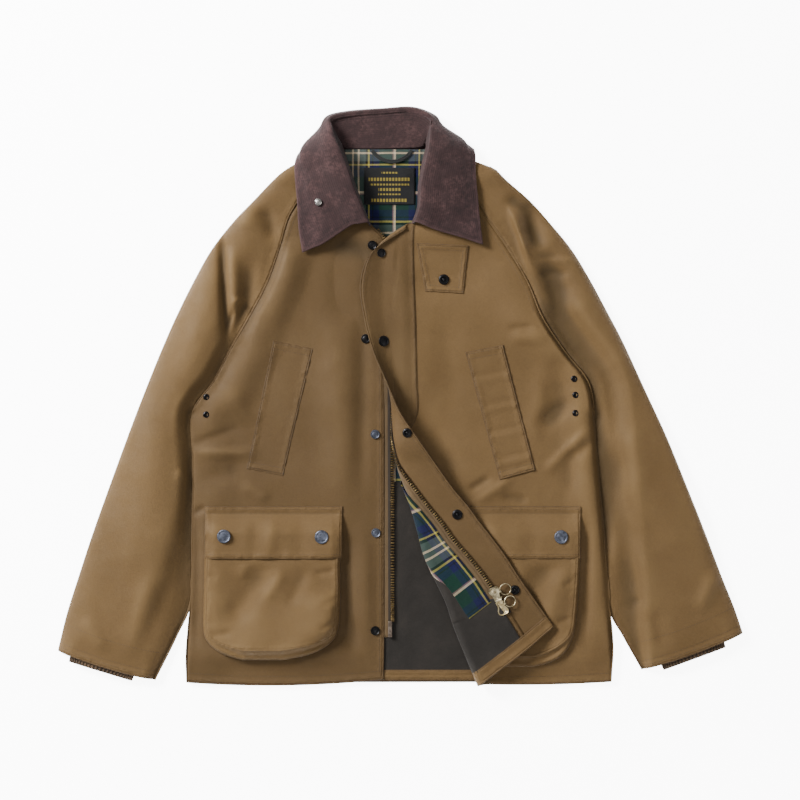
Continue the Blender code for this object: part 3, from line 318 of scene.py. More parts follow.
def torso_distance(xy: Grid) -> Grid:
    """Distance from the armhole and side seams of the nearer side."""
    near = [np.minimum(distance(xy, ARMHOLE[s]), distance(xy, SIDE[s])) for s in (-1, 1)]
    return np.where(xy[..., 0] < 0, near[0], near[1])


def top_height(xy: Grid, sleeve: bool = False) -> Grid:
    """Height of the upper cloth's outer face, without its small creases.

    Args:
        xy: Plan points, in millimetres.
        sleeve: True on the sleeves, which are fuller than the fronts.

    Returns:
        One height for each point.
    """
    away = torso_distance(xy)
    crest = BODY_RISE + (SLEEVE_RISE * ease(away, 0.0, SLEEVE_EASE) if sleeve else 0.0)
    height = np.broadcast_to(crest, xy.shape[:-1]).copy()
    for line, edge, reach, rounded in EDGES:
        share = np.minimum(distance(xy, line) / reach, 1.0)
        rise = np.sqrt(np.maximum(1 - (1 - share) ** 2, 0.0)) if rounded else ease(share, 0, 1)
        height = np.minimum(height, edge + (crest - edge) * rise)
    if sleeve:
        room = np.maximum(height - FREE_EDGE, 0.0)
        for x1, y1, x2, y2, depth, width in FOLDS:
            fall = np.exp(-(distance(xy, ((x1, y1), (x2, y2))) / width) ** 2)
            share = np.minimum(room / (abs(depth) if depth < 0 else 4.0), 1.0)
            height += depth * fall * share * ease(away, 0.0, 25.0)
    return height + neck_lift(xy[..., 1])


# ---- creases ---------------------------------------------------------------------------
@dataclass(frozen=True)
class Crease:
    """One soft ridge, or a trough when its height is below zero.

    Attributes:
        start: Plan point where it begins.
        end: Plan point where it dies out.
        height: Height at its middle, in millimetres.
        width: Half width, in millimetres.
        lean: Width of its steep side as a share of the other's; negative swaps the sides.
    """

    start: tuple[float, float]
    end: tuple[float, float]
    height: float
    width: float
    lean: float = 1.0

    def lift(self, xy: Grid) -> Grid:
        """Height that the crease adds at plan points."""
        start, end = np.array(self.start), np.array(self.end)
        span = end - start
        length = float(np.linalg.norm(span))
        along = span / length
        share = (xy - start) @ along / length
        aside = (xy - start) @ np.array((-along[1], along[0]))

        steep = self.width * abs(self.lean)
        right = steep if self.lean < 0 else self.width
        left = self.width if self.lean < 0 else steep
        fall = np.exp(-(aside / np.where(aside > 0, left, right)) ** 2)
        return self.height * fall * ease(share, -0.12, 0.3) * ease(1 - share, -0.12, 0.3)


class Ripple:
    """Faint unevenness of cloth that has been worn: a sum of fixed waves."""

    def __init__(self, seed: int, longest: float, shortest: float, height: float,
                 count: int = 14) -> None:
        """Draw the waves once.

        Args:
            seed: Fixes the drawing.
            longest: Longest wave, in millimetres.
            shortest: Shortest wave, in millimetres.
            height: Typical height of the sum.
            count: Number of waves.
        """
        rng = np.random.default_rng(seed)
        turn = rng.uniform(0, math.pi, count)
        wave = np.exp(rng.uniform(math.log(shortest), math.log(longest), count))
        self.direction = np.stack([np.cos(turn), np.sin(turn)]) * (2 * math.pi / wave)
        self.phase = rng.uniform(0, 2 * math.pi, count)
        self.weight = height * (wave / longest) ** 0.6 * math.sqrt(2 / count)

    def lift(self, xy: Grid) -> Grid:
        """Height that the waves add at plan points."""
        return np.sin(xy @ self.direction + self.phase) @ self.weight


BODY_CREASES = (
    # right front: hollow below the collar, the long ridge beside the zip, folds at the side
    Crease((-64, 222), (-78, 100), -3.2, 24), Crease((-140, 198), (-176, 86), 3.0, 24),
    Crease((-86, 122), (-78, -142), 2.6, 22), Crease((-128, 66), (-122, -92), -0.8, 20),
    Crease((-50, 155), (-54, -138), -1.8, 11), Crease((-286, -62), (-222, -40), -1.3, 8, 0.6),
    Crease((-288, -72), (-196, -74), 2.4, 9, 0.6), Crease((-276, -112), (-215, -96), -2.0, 16),
    Crease((-280, -150), (-279, -335), -1.8, 6), Crease((-285, -158), (-266, -149), -1.8, 4),
    Crease((-215, -118), (-180, -138), 1.6, 9), Crease((-232, 12), (-205, -35), 1.4, 15),
    Crease((-75, -200), (-66, -345), -2.2, 10), Crease((-285, -354), (-60, -354), 2.2, 15),
    Crease((-48, -170), (-42, -360), 1.2, 12), Crease((-96, 232), (-22, 222), 2.4, 20),
    # left front: chest, the short folds beside the hand-warmer, the long one at the side
    Crease((146, 196), (164, 52), 2.0, 30), Crease((232, -60), (234, -132), -1.4, 10),
    Crease((62, 120), (66, -10), -1.6, 20),
    Crease((-14, 226), (112, 224), 3.2, 20), Crease((10, 158), (112, 162), -2.0, 22),
    Crease((148, 96), (182, 99), -1.4, 6, 0.6), Crease((150, 82), (202, 84), 1.3, 9),
    Crease((40, -42), (78, -104), -2.0, 14), Crease((104, -140), (152, -109), 1.6, 8, 0.6),
    Crease((94, -126), (124, -107), -1.9, 5), Crease((140, -135), (174, -140), -1.8, 6),
    Crease((197, -101), (256, -43), 2.2, 10, 0.6), Crease((188, -40), (238, 2), -2.8, 12),
    Crease((232, -84), (262, -58), -1.9, 8), Crease((256, -158), (255, -335), -1.9, 7),
    Crease((215, 60), (225, 0), -1.8, 14), Crease((120, -360), (285, -362), 1.8, 13),
    Crease((195, 40), (185, -60), 1.6, 13),
)
SLEEVE_CREASES = (
    # right sleeve: its long round, the bunch above the elbow, the folds at the cuff
    Crease((-216, 178), (-364, -335), 5.4, 44, 0.55), Crease((-244, 228), (-237, 74), -3.6, 5),
    Crease((-232, 218), (-222, 84), 3.7, 9), Crease((-205, 192), (-213, 92), -3.4, 12),
    Crease((-217, 128), (-222, 84), -2.8, 7), Crease((-209, 124), (-205, 92), 2.2, 4),
    Crease((-230, 133), (-209, 134), 2.0, 4), Crease((-305, -100), (-278, -120), 2.4, 7),
    Crease((-349, -335), (-319, -250), -1.1, 14), Crease((-371, -348), (-338, -245), 2.0, 14),
    Crease((-186, 262), (-168, 215), -2.4, 10), Crease((-207, 268), (-214, 232), 2.0, 16),
    Crease((-262, 20), (-272, -40), -2.6, 16), Crease((-430, -300), (-405, -345), 1.4, 10),
    # left sleeve: the fold beside the seam, the bunch on the shoulder, the ridge by the body
    Crease((150, 262), (174, 196), 4.2, 16, -0.3), Crease((166, 214), (202, 108), 5.2, 30, -0.25),
    Crease((152, 256), (201, 108), 1.7, 5, -0.4), Crease((174, 264), (192, 205), -5.6, 13),
    Crease((196, 215), (234, 125), -6.0, 20),
    Crease((186, 188), (236, 190), 1.3, 6, 0.6), Crease((190, 170), (232, 172), -1.4, 6),
    Crease((146, 276), (176, 256), -2.0, 11),
    Crease((258, 70), (318, -130), 3.8, 22), Crease((313, -100), (290, -240), 3.4, 20),
    Crease((356, 10), (430, -215), 3.4, 30), Crease((408, -290), (432, -238), 1.9, 10),
    Crease((298, -290), (330, -274), -1.6, 5), Crease((360, -340), (345, -290), -1.8, 12),
    Crease((214, 120), (244, 60), -2.2, 12),
)
RIGHT_BAG_CREASES = (
    Crease((-182, -226), (-232, -306), -4.4, 17), Crease((-158, -234), (-186, -278), 2.6, 9),
    Crease((-128, -232), (-152, -284), -2.2, 10), Crease((-98, -264), (-104, -336), 5.4, 34),
    Crease((-240, -340), (-104, -334), 3.8, 28), Crease((-212, -224), (-214, -246), 1.6, 8),
    Crease((-256, -222), (-262, -300), 1.8, 18),
    Crease((-118, -240), (-84, -234), -1.8, 4), Crease((-106, -282), (-84, -274), -1.5, 4),
    Crease((-110, -316), (-86, -304), -1.7, 4), Crease((-262, -325), (-228, -318), -1.5, 5),
    Crease((-264, -240), (-250, -245), -1.4, 4),
)
LEFT_BAG_CREASES = (
    Crease((228, -225), (196, -320), 2.8, 14), Crease((205, -222), (160, -300), -3.0, 15),
    Crease((168, -232), (120, -300), 2.6, 14), Crease((215, -330), (160, -345), 1.8, 10),
    Crease((240, -248), (222, -256), -1.6, 4), Crease((236, -300), (214, -306), -1.6, 4),
)
# Painted shade beside the left sleeve's fold at the shoulder, laid out as creases; no geometry.
LEFT_SLEEVE_SHADES = (
    Crease((151, 260), (172, 198), 3.8, 15, -0.2), Crease((166, 212), (206, 98), 4.2, 36, -0.08),
    Crease((146, 272), (184, 262), 3.0, 11),
)
BODY_RIPPLE = Ripple(3, 210.0, 60.0, 0.5)
SLEEVE_RIPPLE = Ripple(8, 190.0, 60.0, 0.6)
DRAPE = 1.45               # how strongly every crease stands
SLEEVE_SUNK = 4.4          # how far a sleeve lies below the body beside it
SLEEVE_SUNK_RIGHT = SLEEVE_SUNK * 0.75
EDGE_SWELL = 4.6           # how far a front stands up beside its seams
SWELL_RIGHT, SWELL_LEFT = 1.3, 1.4
SLEEVE_FLOOR, FRONT_FLOOR = 3.3, 5.1        # no crease presses the cloth lower
PUCKER = Ripple(5, 15.0, 8.5, 0.2, 24)
FLAP_CREASES = (
    Crease((-175, -164), (-178, -222), 1.5, 9), Crease((-197, -166), (-200, -222), -1.3, 9),
    Crease((-137, -166), (-134, -222), -1.3, 12), Crease((128, -166), (124, -222), 1.3, 11),
    Crease((178, -166), (182, -222), -1.3, 12),
)


def soft_floor(value: Grid, floor: Grid, blur: Grid | float) -> Grid:
    """The larger of a value and a floor, with the corner between them rounded."""
    return np.logaddexp(value / blur, floor / blur) * blur


def with_creases(lift: Grid | float, creases: Iterable[Crease], xy: Grid,
                 share: Grid | float = 1.0) -> Grid:
    """Add a share of each crease to a height."""
    for crease in creases:
        lift = lift + crease.lift(xy) * share
    return lift


def sunk(xy: Grid, away: Grid) -> Grid:
    """How far a sleeve lies down beside the body, below the shoulder."""
    right = SLEEVE_SUNK_RIGHT * (1 - ease(away, 3.0, 42.0)) * (
        1 - 0.55 * ease(-xy[..., 1], 0.0, 90.0))
    left = SLEEVE_SUNK * (0.4 + 1.5 * ease(away, 3.0, 26.0)) * (1 - ease(away, 27.0, 56.0))
    return np.where(xy[..., 0] < 0, right, left) * ease(200.0 - xy[..., 1], 0.0, 90.0)


def swell(xy: Grid, away: Grid) -> Grid:
    """How far a front stands up beside its armhole and side seams."""
    y = xy[..., 1]
    rise = 13 + 15 * ease(-y, -115.0, -50.0)
    right = (ease(away / rise, 0.0, 1.0) * (1 - ease(away - rise, 2.0, 40.0))
             * EDGE_SWELL * SWELL_RIGHT
             * (0.3 + 0.7 * ease(y, -70.0, 10.0)) * ease(-y, -225.0, -190.0))
    left = (ease(away, 0.0, 5.0) * (1 - ease(away, 8.0, 54.0)) * EDGE_SWELL * SWELL_LEFT
            * (1 - 0.5 * ease(-y, 140.0, 230.0)) * (1 - ease(-y, 300.0, 375.0))
            * ease(-y, -160.0, -70.0))
    return np.where(xy[..., 0] < 0, right, left)


def cloth_top(xy: Grid, sleeve: bool = False) -> Grid:
    """Height of the upper cloth's outer face with every crease."""
    height = top_height(xy, sleeve)
    room = ease(height, FREE_EDGE - 1.0, BODY_RISE)
    ripple, creases = ((SLEEVE_RIPPLE, SLEEVE_CREASES) if sleeve
                       else (BODY_RIPPLE, BODY_CREASES))
    lift = with_creases(ripple.lift(xy), creases, xy, DRAPE)
    away = torso_distance(xy)
    if sleeve:
        raised = height + lift * ease(away, 0.0, 22.0) * room - sunk(xy, away)
        return soft_floor(raised, np.minimum(height, SLEEVE_FLOOR), 0.15 + 1.2 * room)
    return np.maximum(height + (lift + swell(xy, away)) * room,
                      np.minimum(height, FRONT_FLOOR))


def sleeve_top(xy: Grid) -> Grid:
    """Height of a sleeve's outer face with every crease."""
    return cloth_top(xy, sleeve=True)


def top_at(x: float, y: float) -> float:
    """Height of a front at one point, with every crease."""
    return float(cloth_top(np.array([x, y], float)))


# ---- finishes --------------------------------------------------------------------------
DYE = 0.78                 # how deep every colour is dyed for the studio's bright light


def tint(red: int, green: int, blue: int) -> tuple[float, float, float, float]:
    """Turn a dyer's 0-255 colour into the shader's linear colour."""
    return tuple((c / 255 / 12.92 if c <= 10 else ((c / 255 + 0.055) / 1.055) ** 2.4) * DYE
                 for c in (red, green, blue)) + (1.0,)


class Weave(Enum):
    """Ways that a cloth is woven or knitted."""

    TWILL = "twill"
    PLAIN = "plain"
    RIB = "rib"


class Bench:
    """A small work bench for one material's nodes."""

    def __init__(self, name: str) -> None:
        """Start a material with its shader.

        Args:
            name: Name of the material.
        """
        self.material = bpy.data.materials.new(name)
        self.material.use_nodes = True
        self.tree = self.material.node_tree
        self.shader = self.tree.nodes["Principled BSDF"]

    def add(self, kind: str, inputs: dict | None = None, **settings) -> bpy.types.Node:
        """Add a node.

        Args:
            kind: Its type, without the leading ShaderNode.
            inputs: Values or sockets for its inputs, by name or number.
            settings: Values of its properties.

        Returns:
            The node.
        """
        node = self.tree.nodes.new("ShaderNode" + kind)
        for key, value in settings.items():
            setattr(node, key, value)
        for key, value in (inputs or {}).items():
            if isinstance(value, bpy.types.NodeSocket):
                self.tree.links.new(value, node.inputs[key])
            else:
                node.inputs[key].default_value = value
        return node

    def calc(self, operation: str,
             *values: float | bpy.types.NodeSocket) -> bpy.types.NodeSocket:
        """Calculate with up to three numbers or sockets."""
        return self.add("Math", dict(enumerate(values)), operation=operation).outputs[0]

    def blend(self, share: float | bpy.types.NodeSocket, first, second,
              kind: str = "MIX") -> bpy.types.NodeSocket:
        """Mix two colours.

        Args:
            share: Share of the second.
            first: First colour or socket.
            second: Second colour or socket.
            kind: How they mix.

        Returns:
            The mixed colour.
        """
        return self.add("Mix", {0: share, 6: first, 7: second}, data_type="RGBA",
                        blend_type=kind).outputs[2]

    def stain(self, colour, over, mask: bpy.types.NodeSocket,
              strength: float) -> bpy.types.NodeSocket:
        """Lay one colour over another by a mask times a strength."""
        return self.blend(self.calc("MULTIPLY", mask, strength), colour, over)

    def reading(self, attribute: str) -> bpy.types.NodeSocket:
        """Read a measure that is stored at each point of the mesh, in metres."""
        return self.add("Attribute", attribute_name=attribute).outputs["Fac"]

    def steps(self, value: bpy.types.NodeSocket, low: float, high: float, to_low: float = 0.0,
              to_high: float = 1.0) -> bpy.types.NodeSocket:
        """Rise smoothly from to_low at low to to_high at high."""
        return self.add("MapRange", {0: value, 1: low, 2: high, 3: to_low, 4: to_high},
                        interpolation_type="SMOOTHSTEP").outputs[0]

    def noise(self, scale: float, detail: float = 3.0, rough: float = 0.5,
              bend: float = 0.0) -> bpy.types.NodeSocket:
        """Sample noise over the object, scale in cells to the metre."""
        where = self.add("TexCoord").outputs["Object"]
        return self.add("TexNoise", {"Vector": where, "Scale": scale, "Detail": detail,
                                     "Roughness": rough, "Distortion": bend}).outputs[0]

    def cloth(self) -> tuple[bpy.types.NodeSocket, bpy.types.NodeSocket, bpy.types.NodeSocket]:
        """Cloth coordinates: the vector, then along the weft and along the warp, in metres."""
        uv = self.add("UVMap", uv_map="cloth").outputs[0]
        parts = self.add("SeparateXYZ", {0: uv})
        return uv, parts.outputs[0], parts.outputs[1]

    def wave(self, value: bpy.types.NodeSocket, pitch: float) -> bpy.types.NodeSocket:
        """A wave between 0 and 1 with its pitch in metres."""
        turn = self.calc("MULTIPLY", value, 2 * math.pi / pitch)
        return self.calc("MULTIPLY_ADD", self.calc("SINE", turn), 0.5, 0.5)

    def bump(self, height: bpy.types.NodeSocket, depth: float, strength: float = 1.0,
             before: bpy.types.NodeSocket | None = None) -> bpy.types.NodeSocket:
        """Bump of a real depth in metres, on top of another."""
        inputs = {"Height": height, "Distance": depth, "Strength": strength}
        if before is not None:
            inputs["Normal"] = before
        return self.add("Bump", inputs).outputs[0]

    def finish(self, colour, roughness, normal: bpy.types.NodeSocket | None = None,
               **levels: float) -> bpy.types.Material:
        """Wire the shader.

        Args:
            colour: Colour or socket.
            roughness: Number or socket.
            normal: Bumped normal.
            levels: Values of other shader inputs, with _ for a space.

        Returns:
            The material.
        """
        for key, value in (("Base Color", colour), ("Roughness", roughness), ("Normal", normal)):
            if isinstance(value, bpy.types.NodeSocket):
                self.tree.links.new(value, self.shader.inputs[key])
            elif value is not None:
                self.shader.inputs[key].default_value = value
        for key, value in levels.items():
            self.shader.inputs[key.replace("_", " ")].default_value = value
        return self.material


@dataclass(frozen=True)
class WaxedCotton:
    """Waxed cotton: matt weave, worn pale edges, stitched channels, fine wax creases, painted
    shade in its hollows and along its edges, and painted highlights on its ridges.
    """

    mid: tuple = tint(86, 66, 39)
    shade: tuple = tint(79, 60, 34)
    # Rubbed wear, and also the painted highlight on the ridges of folds.
    rubbed_and_lit: tuple = tint(102, 81, 51)
    # Grime and stitch channels, and also the painted shade along every edge.
    grime_and_shade: tuple = tint(48, 34, 19)
    waxed: tuple = tint(40, 32, 17)     # painted shade in the hollows of folds
    channel: float = 0.0021     # distance of the edge stitching from an edge, m
    weave_pitch: float = 0.0011
    shade_tone: float = 1.0           # darkens the whole colour; below 1 it is painted shade

    def make(self, name: str) -> bpy.types.Material:
        """Build the material."""
        b = Bench(name)
        _, across, along = b.cloth()
        edge = b.reading("edge")
        broad = b.noise(6.0, 3.0, 0.5, 0.2)
        middle = b.noise(30.0, 4.0, 0.55, 0.2)
        fine = b.noise(420.0, 3.0, 0.6)
        colour = b.blend(b.steps(broad, 0.3, 0.7), self.shade, self.mid)
        colour = b.stain(colour, self.rubbed_and_lit, b.steps(middle, 0.5, 0.8), 0.16)
        off = b.calc("DIVIDE", b.calc("SUBTRACT", edge, self.channel), 0.0008)
        channel = b.calc("POWER", math.e, b.calc("MULTIPLY", b.calc("MULTIPLY", off, off), -1.0))
        broken = b.steps(b.noise(95.0, 2.0), 0.36, 0.58, 0.35, 1.0)
        worn = b.calc("MULTIPLY", b.steps(edge, 0.0022, 0.0),
                      b.steps(b.noise(60.0, 4.0), 0.36, 0.62))
        colour = b.stain(colour, self.grime_and_shade, b.calc("MULTIPLY", channel, broken), 0.34)
        colour = b.stain(colour, self.rubbed_and_lit, worn, 0.12)
        # Painted shade along every edge of the cloth.
        colour = b.blend(b.steps(edge, 0.0013, 0.0, 0.0, 0.6), colour, self.grime_and_shade)
        colour = b.stain(colour, self.grime_and_shade, b.steps(fine, 0.35, 0.7), 0.14)
        # Painted shade in the hollows of folds and a painted highlight on their ridges, from the
        # depth stored with each point.
        hollow = b.reading("hollow")
        colour = b.blend(b.steps(hollow, 0.0004, 0.0045, 0.0, 0.55), colour, self.waxed)
        colour = b.blend(b.steps(hollow, -0.0004, -0.0035, 0.0, 0.3), colour, self.rubbed_and_lit)
        # Painted shade: the whole colour darkened by the tone.
        colour = b.blend(1.0, colour, (self.shade_tone, self.shade_tone, self.shade_tone, 1.0), "MULTIPLY")
        warp = b.calc("ADD", across, along)
        twill = b.calc("MULTIPLY", b.wave(warp, self.weave_pitch),
                       b.wave(b.calc("SUBTRACT", across, along), self.weave_pitch * 0.62))
        near = b.steps(edge, 0.011, 0.002)
        pucker = b.calc("MULTIPLY", b.noise(120.0, 2.0, 0.5, 0.4), near)
        normal = b.bump(channel, 0.0005, 0.8)
        normal.node.invert = True
        normal = b.bump(pucker, 0.0016, 0.8, normal)
        normal = b.bump(middle, 0.0012, 0.6, normal)
        normal = b.bump(b.noise(230.0, 3.0, 0.6), 0.00022, 0.5, normal)
        normal = b.bump(twill, 0.00011, 0.7, normal)
        rough = b.steps(b.noise(48.0, 4.0), 0.3, 0.7, 0.6, 0.72)
        return b.finish(colour, rough, normal, Specular_IOR_Level=0.11, Sheen_Weight=0.02,
                        Sheen_Roughness=0.45)


@dataclass(frozen=True)
class Corduroy:
    """Fine corduroy: wales along the collar with painted shade in their grooves, and a painted
    sheen in patches of the nap and along its edges.
    """

    pile: tuple = tint(42, 27, 27)
    groove_shade_and_dark_pile: tuple = tint(28, 18, 18)
    painted_sheen: tuple = tint(65, 45, 44)
    wale: float = 0.0029

    def make(self, name: str) -> bpy.types.Material:
        """Build the material."""
        b = Bench(name)
        uv, across, along = b.cloth()
        edge = b.reading("edge")
        sway = b.calc("MULTIPLY", b.noise(90.0, 2.0), 0.0007)
        wale = b.wave(b.calc("ADD", across, sway), self.wale)
        round_wale = b.calc("POWER", wale, 0.6)
        # Painted shade in the grooves between the wales.
        colour = b.blend(b.steps(round_wale, 0.0, 0.8, 0.62, 1.0), self.groove_shade_and_dark_pile, self.pile)
        # Painted sheen of the nap in soft patches.
        patches = b.calc("MULTIPLY", b.steps(b.noise(46.0, 6.0, 0.75), 0.42, 0.62),
                         b.steps(b.noise(260.0, 4.0, 0.7), 0.35, 0.6))
        colour = b.stain(colour, self.painted_sheen, patches, 0.75)
        worn = b.steps(b.noise(80.0, 5.0, 0.75), 0.5, 0.66)
        colour = b.stain(colour, self.groove_shade_and_dark_pile, worn, 0.6)
        # Painted sheen along the edges, where the collar rolls.
        colour = b.stain(colour, self.painted_sheen, b.steps(edge, 0.0035, 0.0), 0.6)
        tufts = b.add("TexNoise", {"Vector": uv, "Scale": 900.0, "Detail": 2.0}).outputs[0]
        colour = b.stain(colour, self.groove_shade_and_dark_pile, b.steps(tufts, 0.4, 0.7), 0.25)
        stitched = b.steps(b.calc("ABSOLUTE", b.calc("SUBTRACT", edge, 0.006)), 0.0012, 0.0)
        colour = b.stain(colour, self.groove_shade_and_dark_pile, stitched, 0.5)
        normal = b.bump(round_wale, 0.00022, 0.6)
        normal = b.bump(b.noise(60.0, 3.0), 0.0017, 0.7, normal)
        normal = b.bump(tufts, 0.0003, 0.6, normal)
        return b.finish(colour, 0.88, normal, Sheen_Weight=0.06, Sheen_Roughness=0.5,
                        Specular_IOR_Level=0.15)


@dataclass(frozen=True)
class Plaid:
    """A plain tartan check, brushed cotton twill: stripes are shares of its repeat."""

    repeat_across: float = 0.105
    repeat_along: float = 0.118
    green: tuple = tint(10, 38, 29)
    navy: tuple = tint(15, 18, 50)
    black: tuple = tint(10, 10, 12)
    cream: tuple = tint(176, 158, 132)
    yellow: tuple = tint(142, 130, 62)
    sage: tuple = tint(62, 70, 66)
    rose: tuple = tint(110, 84, 82)
    sett: tuple = (("yellow", 2.2), ("navy", 3), ("black", 1.5), ("navy", 8), ("green", 17),
                   ("rose", 1.5), ("cream", 2.5), ("green", 17), ("navy", 8), ("black", 1.5),
                   ("navy", 3), ("yellow", 2.2), ("black", 3), ("sage", 8), ("cream", 2.4),
                   ("sage", 5), ("cream", 2.4), ("sage", 8), ("black", 3))

    def stripes(self) -> tuple[tuple[float, tuple], ...]:
        """Where each stripe begins, as a share of the repeat."""
        total = sum(width for _, width in self.sett)
        run, found = 0.0, []
        for colour, width in self.sett:
            found.append((run / total, getattr(self, colour)))
            run += width
        return tuple(found)

    def ramp(self, b: Bench, value: bpy.types.NodeSocket, repeat: float, shift: float,
             ) -> bpy.types.NodeSocket:
        """Read the stripes along one direction of the cloth."""
        sway = b.calc("MULTIPLY_ADD", b.noise(26.0, 2.0), 0.0012, value)
        share = b.calc("FRACT", b.calc("ADD", b.calc("DIVIDE", sway, repeat), shift + 8.0))
        node = b.add("ValToRGB", {0: share})
        node.color_ramp.interpolation = "CONSTANT"
        stops = node.color_ramp.elements
        for k, (start, colour) in enumerate(self.stripes()):
            stop = stops[k] if k < 1 else stops.new(start) if k > 1 else stops[1]
            stop.position, stop.color = start, colour
        return node.outputs[0]

    def make(self, name: str) -> bpy.types.Material:
        """Build the material."""
        b = Bench(name)
        _, across, along = b.cloth()
        warp = self.ramp(b, across, self.repeat_across, 0.413)
        weft = self.ramp(b, along, self.repeat_along, 0.95)
        twill = b.steps(b.wave(b.calc("ADD", across, along), 0.0013), 0.3, 0.7)
        share = b.calc("MULTIPLY_ADD", twill, 0.36, 0.32)
        colour = b.blend(share, warp, weft)
        fluff = b.noise(700.0, 3.0, 0.7)
        colour = b.stain(colour, tint(48, 50, 46), b.steps(fluff, 0.4, 0.75), 0.12)
        colour = b.blend(b.steps(b.noise(18.0, 3.0), 0.35, 0.75, 0.0, 0.3), colour,
                         tint(16, 18, 20))
        normal = b.bump(twill, 0.00018, 0.7)
        normal = b.bump(b.noise(75.0, 3.0), 0.0016, 0.8, normal)
        normal = b.bump(fluff, 0.0002, 0.6, normal)
        return b.finish(colour, 0.9, normal, Sheen_Weight=0.03, Specular_IOR_Level=0.08)


@dataclass(frozen=True)
class PlainCloth:
    """Lining, knit and tape: two shades, a weave and a little unevenness."""

    light: tuple
    dark: tuple
    weave: Weave
    pitch: float
    rough: float = 0.75
    depth: float = 0.0002
    sheen: float = 0.08
    shade_band: float = 0.0         # width of a band of painted shade beside the edge, under the zip teeth, m

    def make(self, name: str) -> bpy.types.Material:
        """Build the material."""
        b = Bench(name)
        _, across, along = b.cloth()
        if self.weave is Weave.RIB:
            pattern = b.wave(across, self.pitch)
        elif self.weave is Weave.TWILL:
            sway = b.calc("ABSOLUTE", b.calc("SUBTRACT", b.wave(across, self.pitch * 8), 0.5))
            pattern = b.wave(b.calc("MULTIPLY_ADD", sway, self.pitch * 4, along), self.pitch)
        else:
            pattern = b.calc("MULTIPLY", b.wave(across, self.pitch), b.wave(along, self.pitch))
        uneven = b.steps(b.noise(22.0, 4.0, 0.6), 0.3, 0.7)
        colour = b.blend(b.calc("MULTIPLY_ADD", pattern, 0.5, b.calc("MULTIPLY", uneven, 0.5)),
                         self.dark, self.light)
        # Painted shade: a dark band beside the edge, where the zip teeth sit.
        if self.shade_band:
            colour = b.blend(b.steps(b.reading("edge"), self.shade_band * 1.15, self.shade_band * 0.85,
                                     0.0, 0.85), colour, tint(22, 17, 13))
        normal = b.bump(pattern, self.depth, 0.8)
        normal = b.bump(b.noise(60.0, 3.0), 0.0013, 0.7, normal)
        return b.finish(colour, self.rough, normal, Sheen_Weight=self.sheen,
                        Specular_IOR_Level=0.16)


@dataclass(frozen=True)
class Label:
    """Woven label: a satin ground with rows of plain woven blocks, no words."""

    ground: tuple = tint(7, 7, 8)
    yarn: tuple = tint(128, 112, 44)
    bars: tuple = ((0.0055, 0.0080, 0.36), (0.0135, 0.0180, 0.95), (0.0215, 0.0240, 0.9),
                   (0.0275, 0.0315, 0.5), (0.0350, 0.0372, 0.52), (0.0420, 0.0465, 0.82))

    def make(self, name: str) -> bpy.types.Material:
        """Build the material."""
        b = Bench(name)
        _, across, along = b.cloth()
        aside = b.calc("ABSOLUTE", across)
        mask = 0.0
        for low, high, half in self.bars:
            inside = b.calc("MULTIPLY", b.calc("GREATER_THAN", along, low),
                            b.calc("LESS_THAN", along, high))
            inside = b.calc("MULTIPLY", inside, b.calc("LESS_THAN", aside, half * 0.03))
            mask = b.calc("MAXIMUM", inside, mask)
        blocks = b.calc("GREATER_THAN", b.wave(across, 0.0042), 0.22)
        mask = b.calc("MULTIPLY", mask, blocks)
        weave = b.calc("MULTIPLY", b.wave(across, 0.0007), b.wave(along, 0.0009))
        mask = b.calc("MULTIPLY", mask, b.steps(weave, 0.0, 0.35, 0.45, 0.9))
        colour = b.blend(mask, self.ground, self.yarn)
        normal = b.bump(weave, 0.00015, 0.8)
        normal = b.bump(b.noise(40.0, 2.0), 0.001, 0.6, normal)
        return b.finish(colour, 0.7, normal, Specular_IOR_Level=0.15, Sheen_Weight=0.02)


@dataclass(frozen=True)
class Metal:
    """Plated metal: bright and dull in soft random clouds, with dark pits."""

    bright: tuple
    dull: tuple
    rough: float
    pitting: float = 0.3

    def make(self, name: str) -> bpy.types.Material:
        """Build the material."""
        b = Bench(name)
        spots = b.noise(900.0, 4.0, 0.65)
        cloud = b.noise(220.0, 3.0)
        colour = b.blend(b.steps(cloud, 0.35, 0.65), self.bright, self.dull)
        pit = tuple(c * 0.4 for c in self.dull[:3]) + (1.0,)
        colour = b.stain(colour, pit, b.steps(spots, 0.5, 0.68), self.pitting)
        rough = b.steps(cloud, 0.3, 0.7, self.rough, min(self.rough + 0.16, 1.0))
        normal = b.bump(spots, 0.00012, 0.35 + self.pitting)
        return b.finish(colour, rough, normal, Metallic=0.9)


@dataclass(frozen=True)
class Thread:
    """Waxed sewing thread, laid with a twist."""

    colour: tuple = tint(52, 38, 22)

    def make(self, name: str) -> bpy.types.Material:
        """Build the material."""
        b = Bench(name)
        shade = b.noise(900.0, 2.0)
        colour = b.blend(b.steps(shade, 0.35, 0.65), self.colour, tint(38, 28, 16))
        return b.finish(colour, 0.6, b.bump(shade, 0.0001, 0.5), Specular_IOR_Level=0.3)


@dataclass(frozen=True)
class Paper:
    """The pale floor under the jacket."""

    colour: tuple = (0.95, 0.95, 0.95, 1.0)
    glow: float = 8.0

    def make(self, name: str) -> bpy.types.Material:
        """Build the material."""
        b = Bench(name)
        grain = b.noise(300.0, 3.0)
        colour = b.blend(b.steps(grain, 0.3, 0.7, 0.0, 0.03), self.colour, (0.8, 0.8, 0.8, 1.0))
        return b.finish(colour, 0.9, None, Specular_IOR_Level=0.1, Emission_Strength=self.glow,
                        Emission_Color=(1.0, 1.0, 1.0, 1.0))


